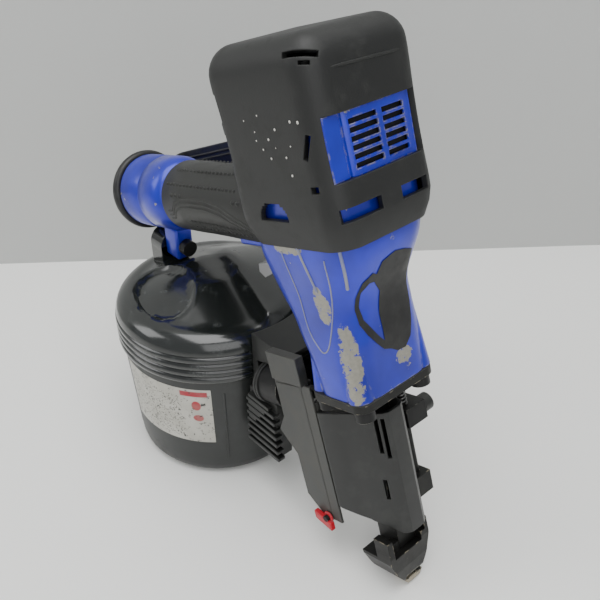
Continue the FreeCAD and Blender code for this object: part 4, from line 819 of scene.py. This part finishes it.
brass, _ = worn_coat("turned_brass", "#b08d4a", "#9a8450", "#a68444", 0.3, 1.0, 0.5, 0.1)
finish_node("trigger_valve_body", brass)

# ---- Floor, wall, lights and camera --------------------------------------------------------------
# A pale table top against a light grey wall, under broad soft light from above.

def stage_sheet(name, corners, colour):
    mesh = bpy.data.meshes.new(name)
    bm = bmesh.new()
    bm.faces.new([bm.verts.new(corner) for corner in corners])
    bm.to_mesh(mesh)
    bm.free()
    sheet = bpy.data.objects.new(name, mesh)
    bpy.context.scene.collection.objects.link(sheet)
    material, shader = new_material(name + "_paint")
    connect(material, shader, {"Base Color": linear(colour), "Roughness": 0.6, "Specular IOR Level": 0.2})
    seen_from = add(material, "MixShader", {0: add(material, "NewGeometry", {}).outputs["Backfacing"],
                                            1: shader.outputs[0],
                                            2: add(material, "BsdfTransparent", {}).outputs[0]})
    output = material.node_tree.nodes["Material Output"]
    material.node_tree.links.new(seen_from.outputs[0], output.inputs["Surface"])
    mesh.materials.append(material)


stage_sheet("floor", [(-3, -3, 0), (3, -3, 0), (3, 3, 0), (-3, 3, 0)], "#ecece9")
wall_way = Vector((math.cos(math.radians(50.8)), math.sin(math.radians(50.8)), 0))
wall_foot = Vector((-0.299, -0.030, 0))
stage_sheet("wall", [wall_foot - wall_way * 3, wall_foot + wall_way * 3,
                     wall_foot + wall_way * 3 + Vector((0, 0, 2)),
                     wall_foot - wall_way * 3 + Vector((0, 0, 2))], "#b9bab8")

look = Vector((-0.61864, 0.54405, -0.56683))
side = look.cross(Vector((0, 0, 1))).normalized()
camera = bpy.data.cameras.new("camera")
camera.lens = 46.85
camera.sensor_width = 36.0
stand = bpy.data.objects.new("camera", camera)
turn = Matrix((side, side.cross(look).normalized(), -look)).transposed().to_4x4()
stand_at = Matrix.Translation((0.33835, -0.22619, 0.37432))
stand.matrix_world = stand_at @ turn @ Matrix.Rotation(math.radians(-0.71), 4, "Z")
bpy.context.scene.collection.objects.link(stand)
bpy.context.scene.camera = stand

for name, size, power, spot, aim in (
        ("overhead", 1.0, 16, (0.2, -0.1, 1.3), (0, 0, 0)),
        ("left_window", 0.7, 6, (-0.7, -0.9, 0.9), (0, 0, 0.12)),
        ("front_fill", 0.8, 4, (0.9, -0.5, 0.7), (0, 0, 0.1))):
    lamp = bpy.data.lights.new(name, "AREA")
    lamp.size = size
    lamp.energy = power
    fixture = bpy.data.objects.new(name, lamp)
    away = (Vector(spot) - Vector(aim)).to_track_quat("Z", "Y").to_matrix().to_4x4()
    fixture.matrix_world = Matrix.Translation(spot) @ away
    bpy.context.scene.collection.objects.link(fixture)
world = bpy.data.worlds.new("room")
world.use_nodes = True
world.node_tree.nodes["Background"].inputs[0].default_value = linear("#d4d6d8")
world.node_tree.nodes["Background"].inputs[1].default_value = 0.8
bpy.context.scene.world = world
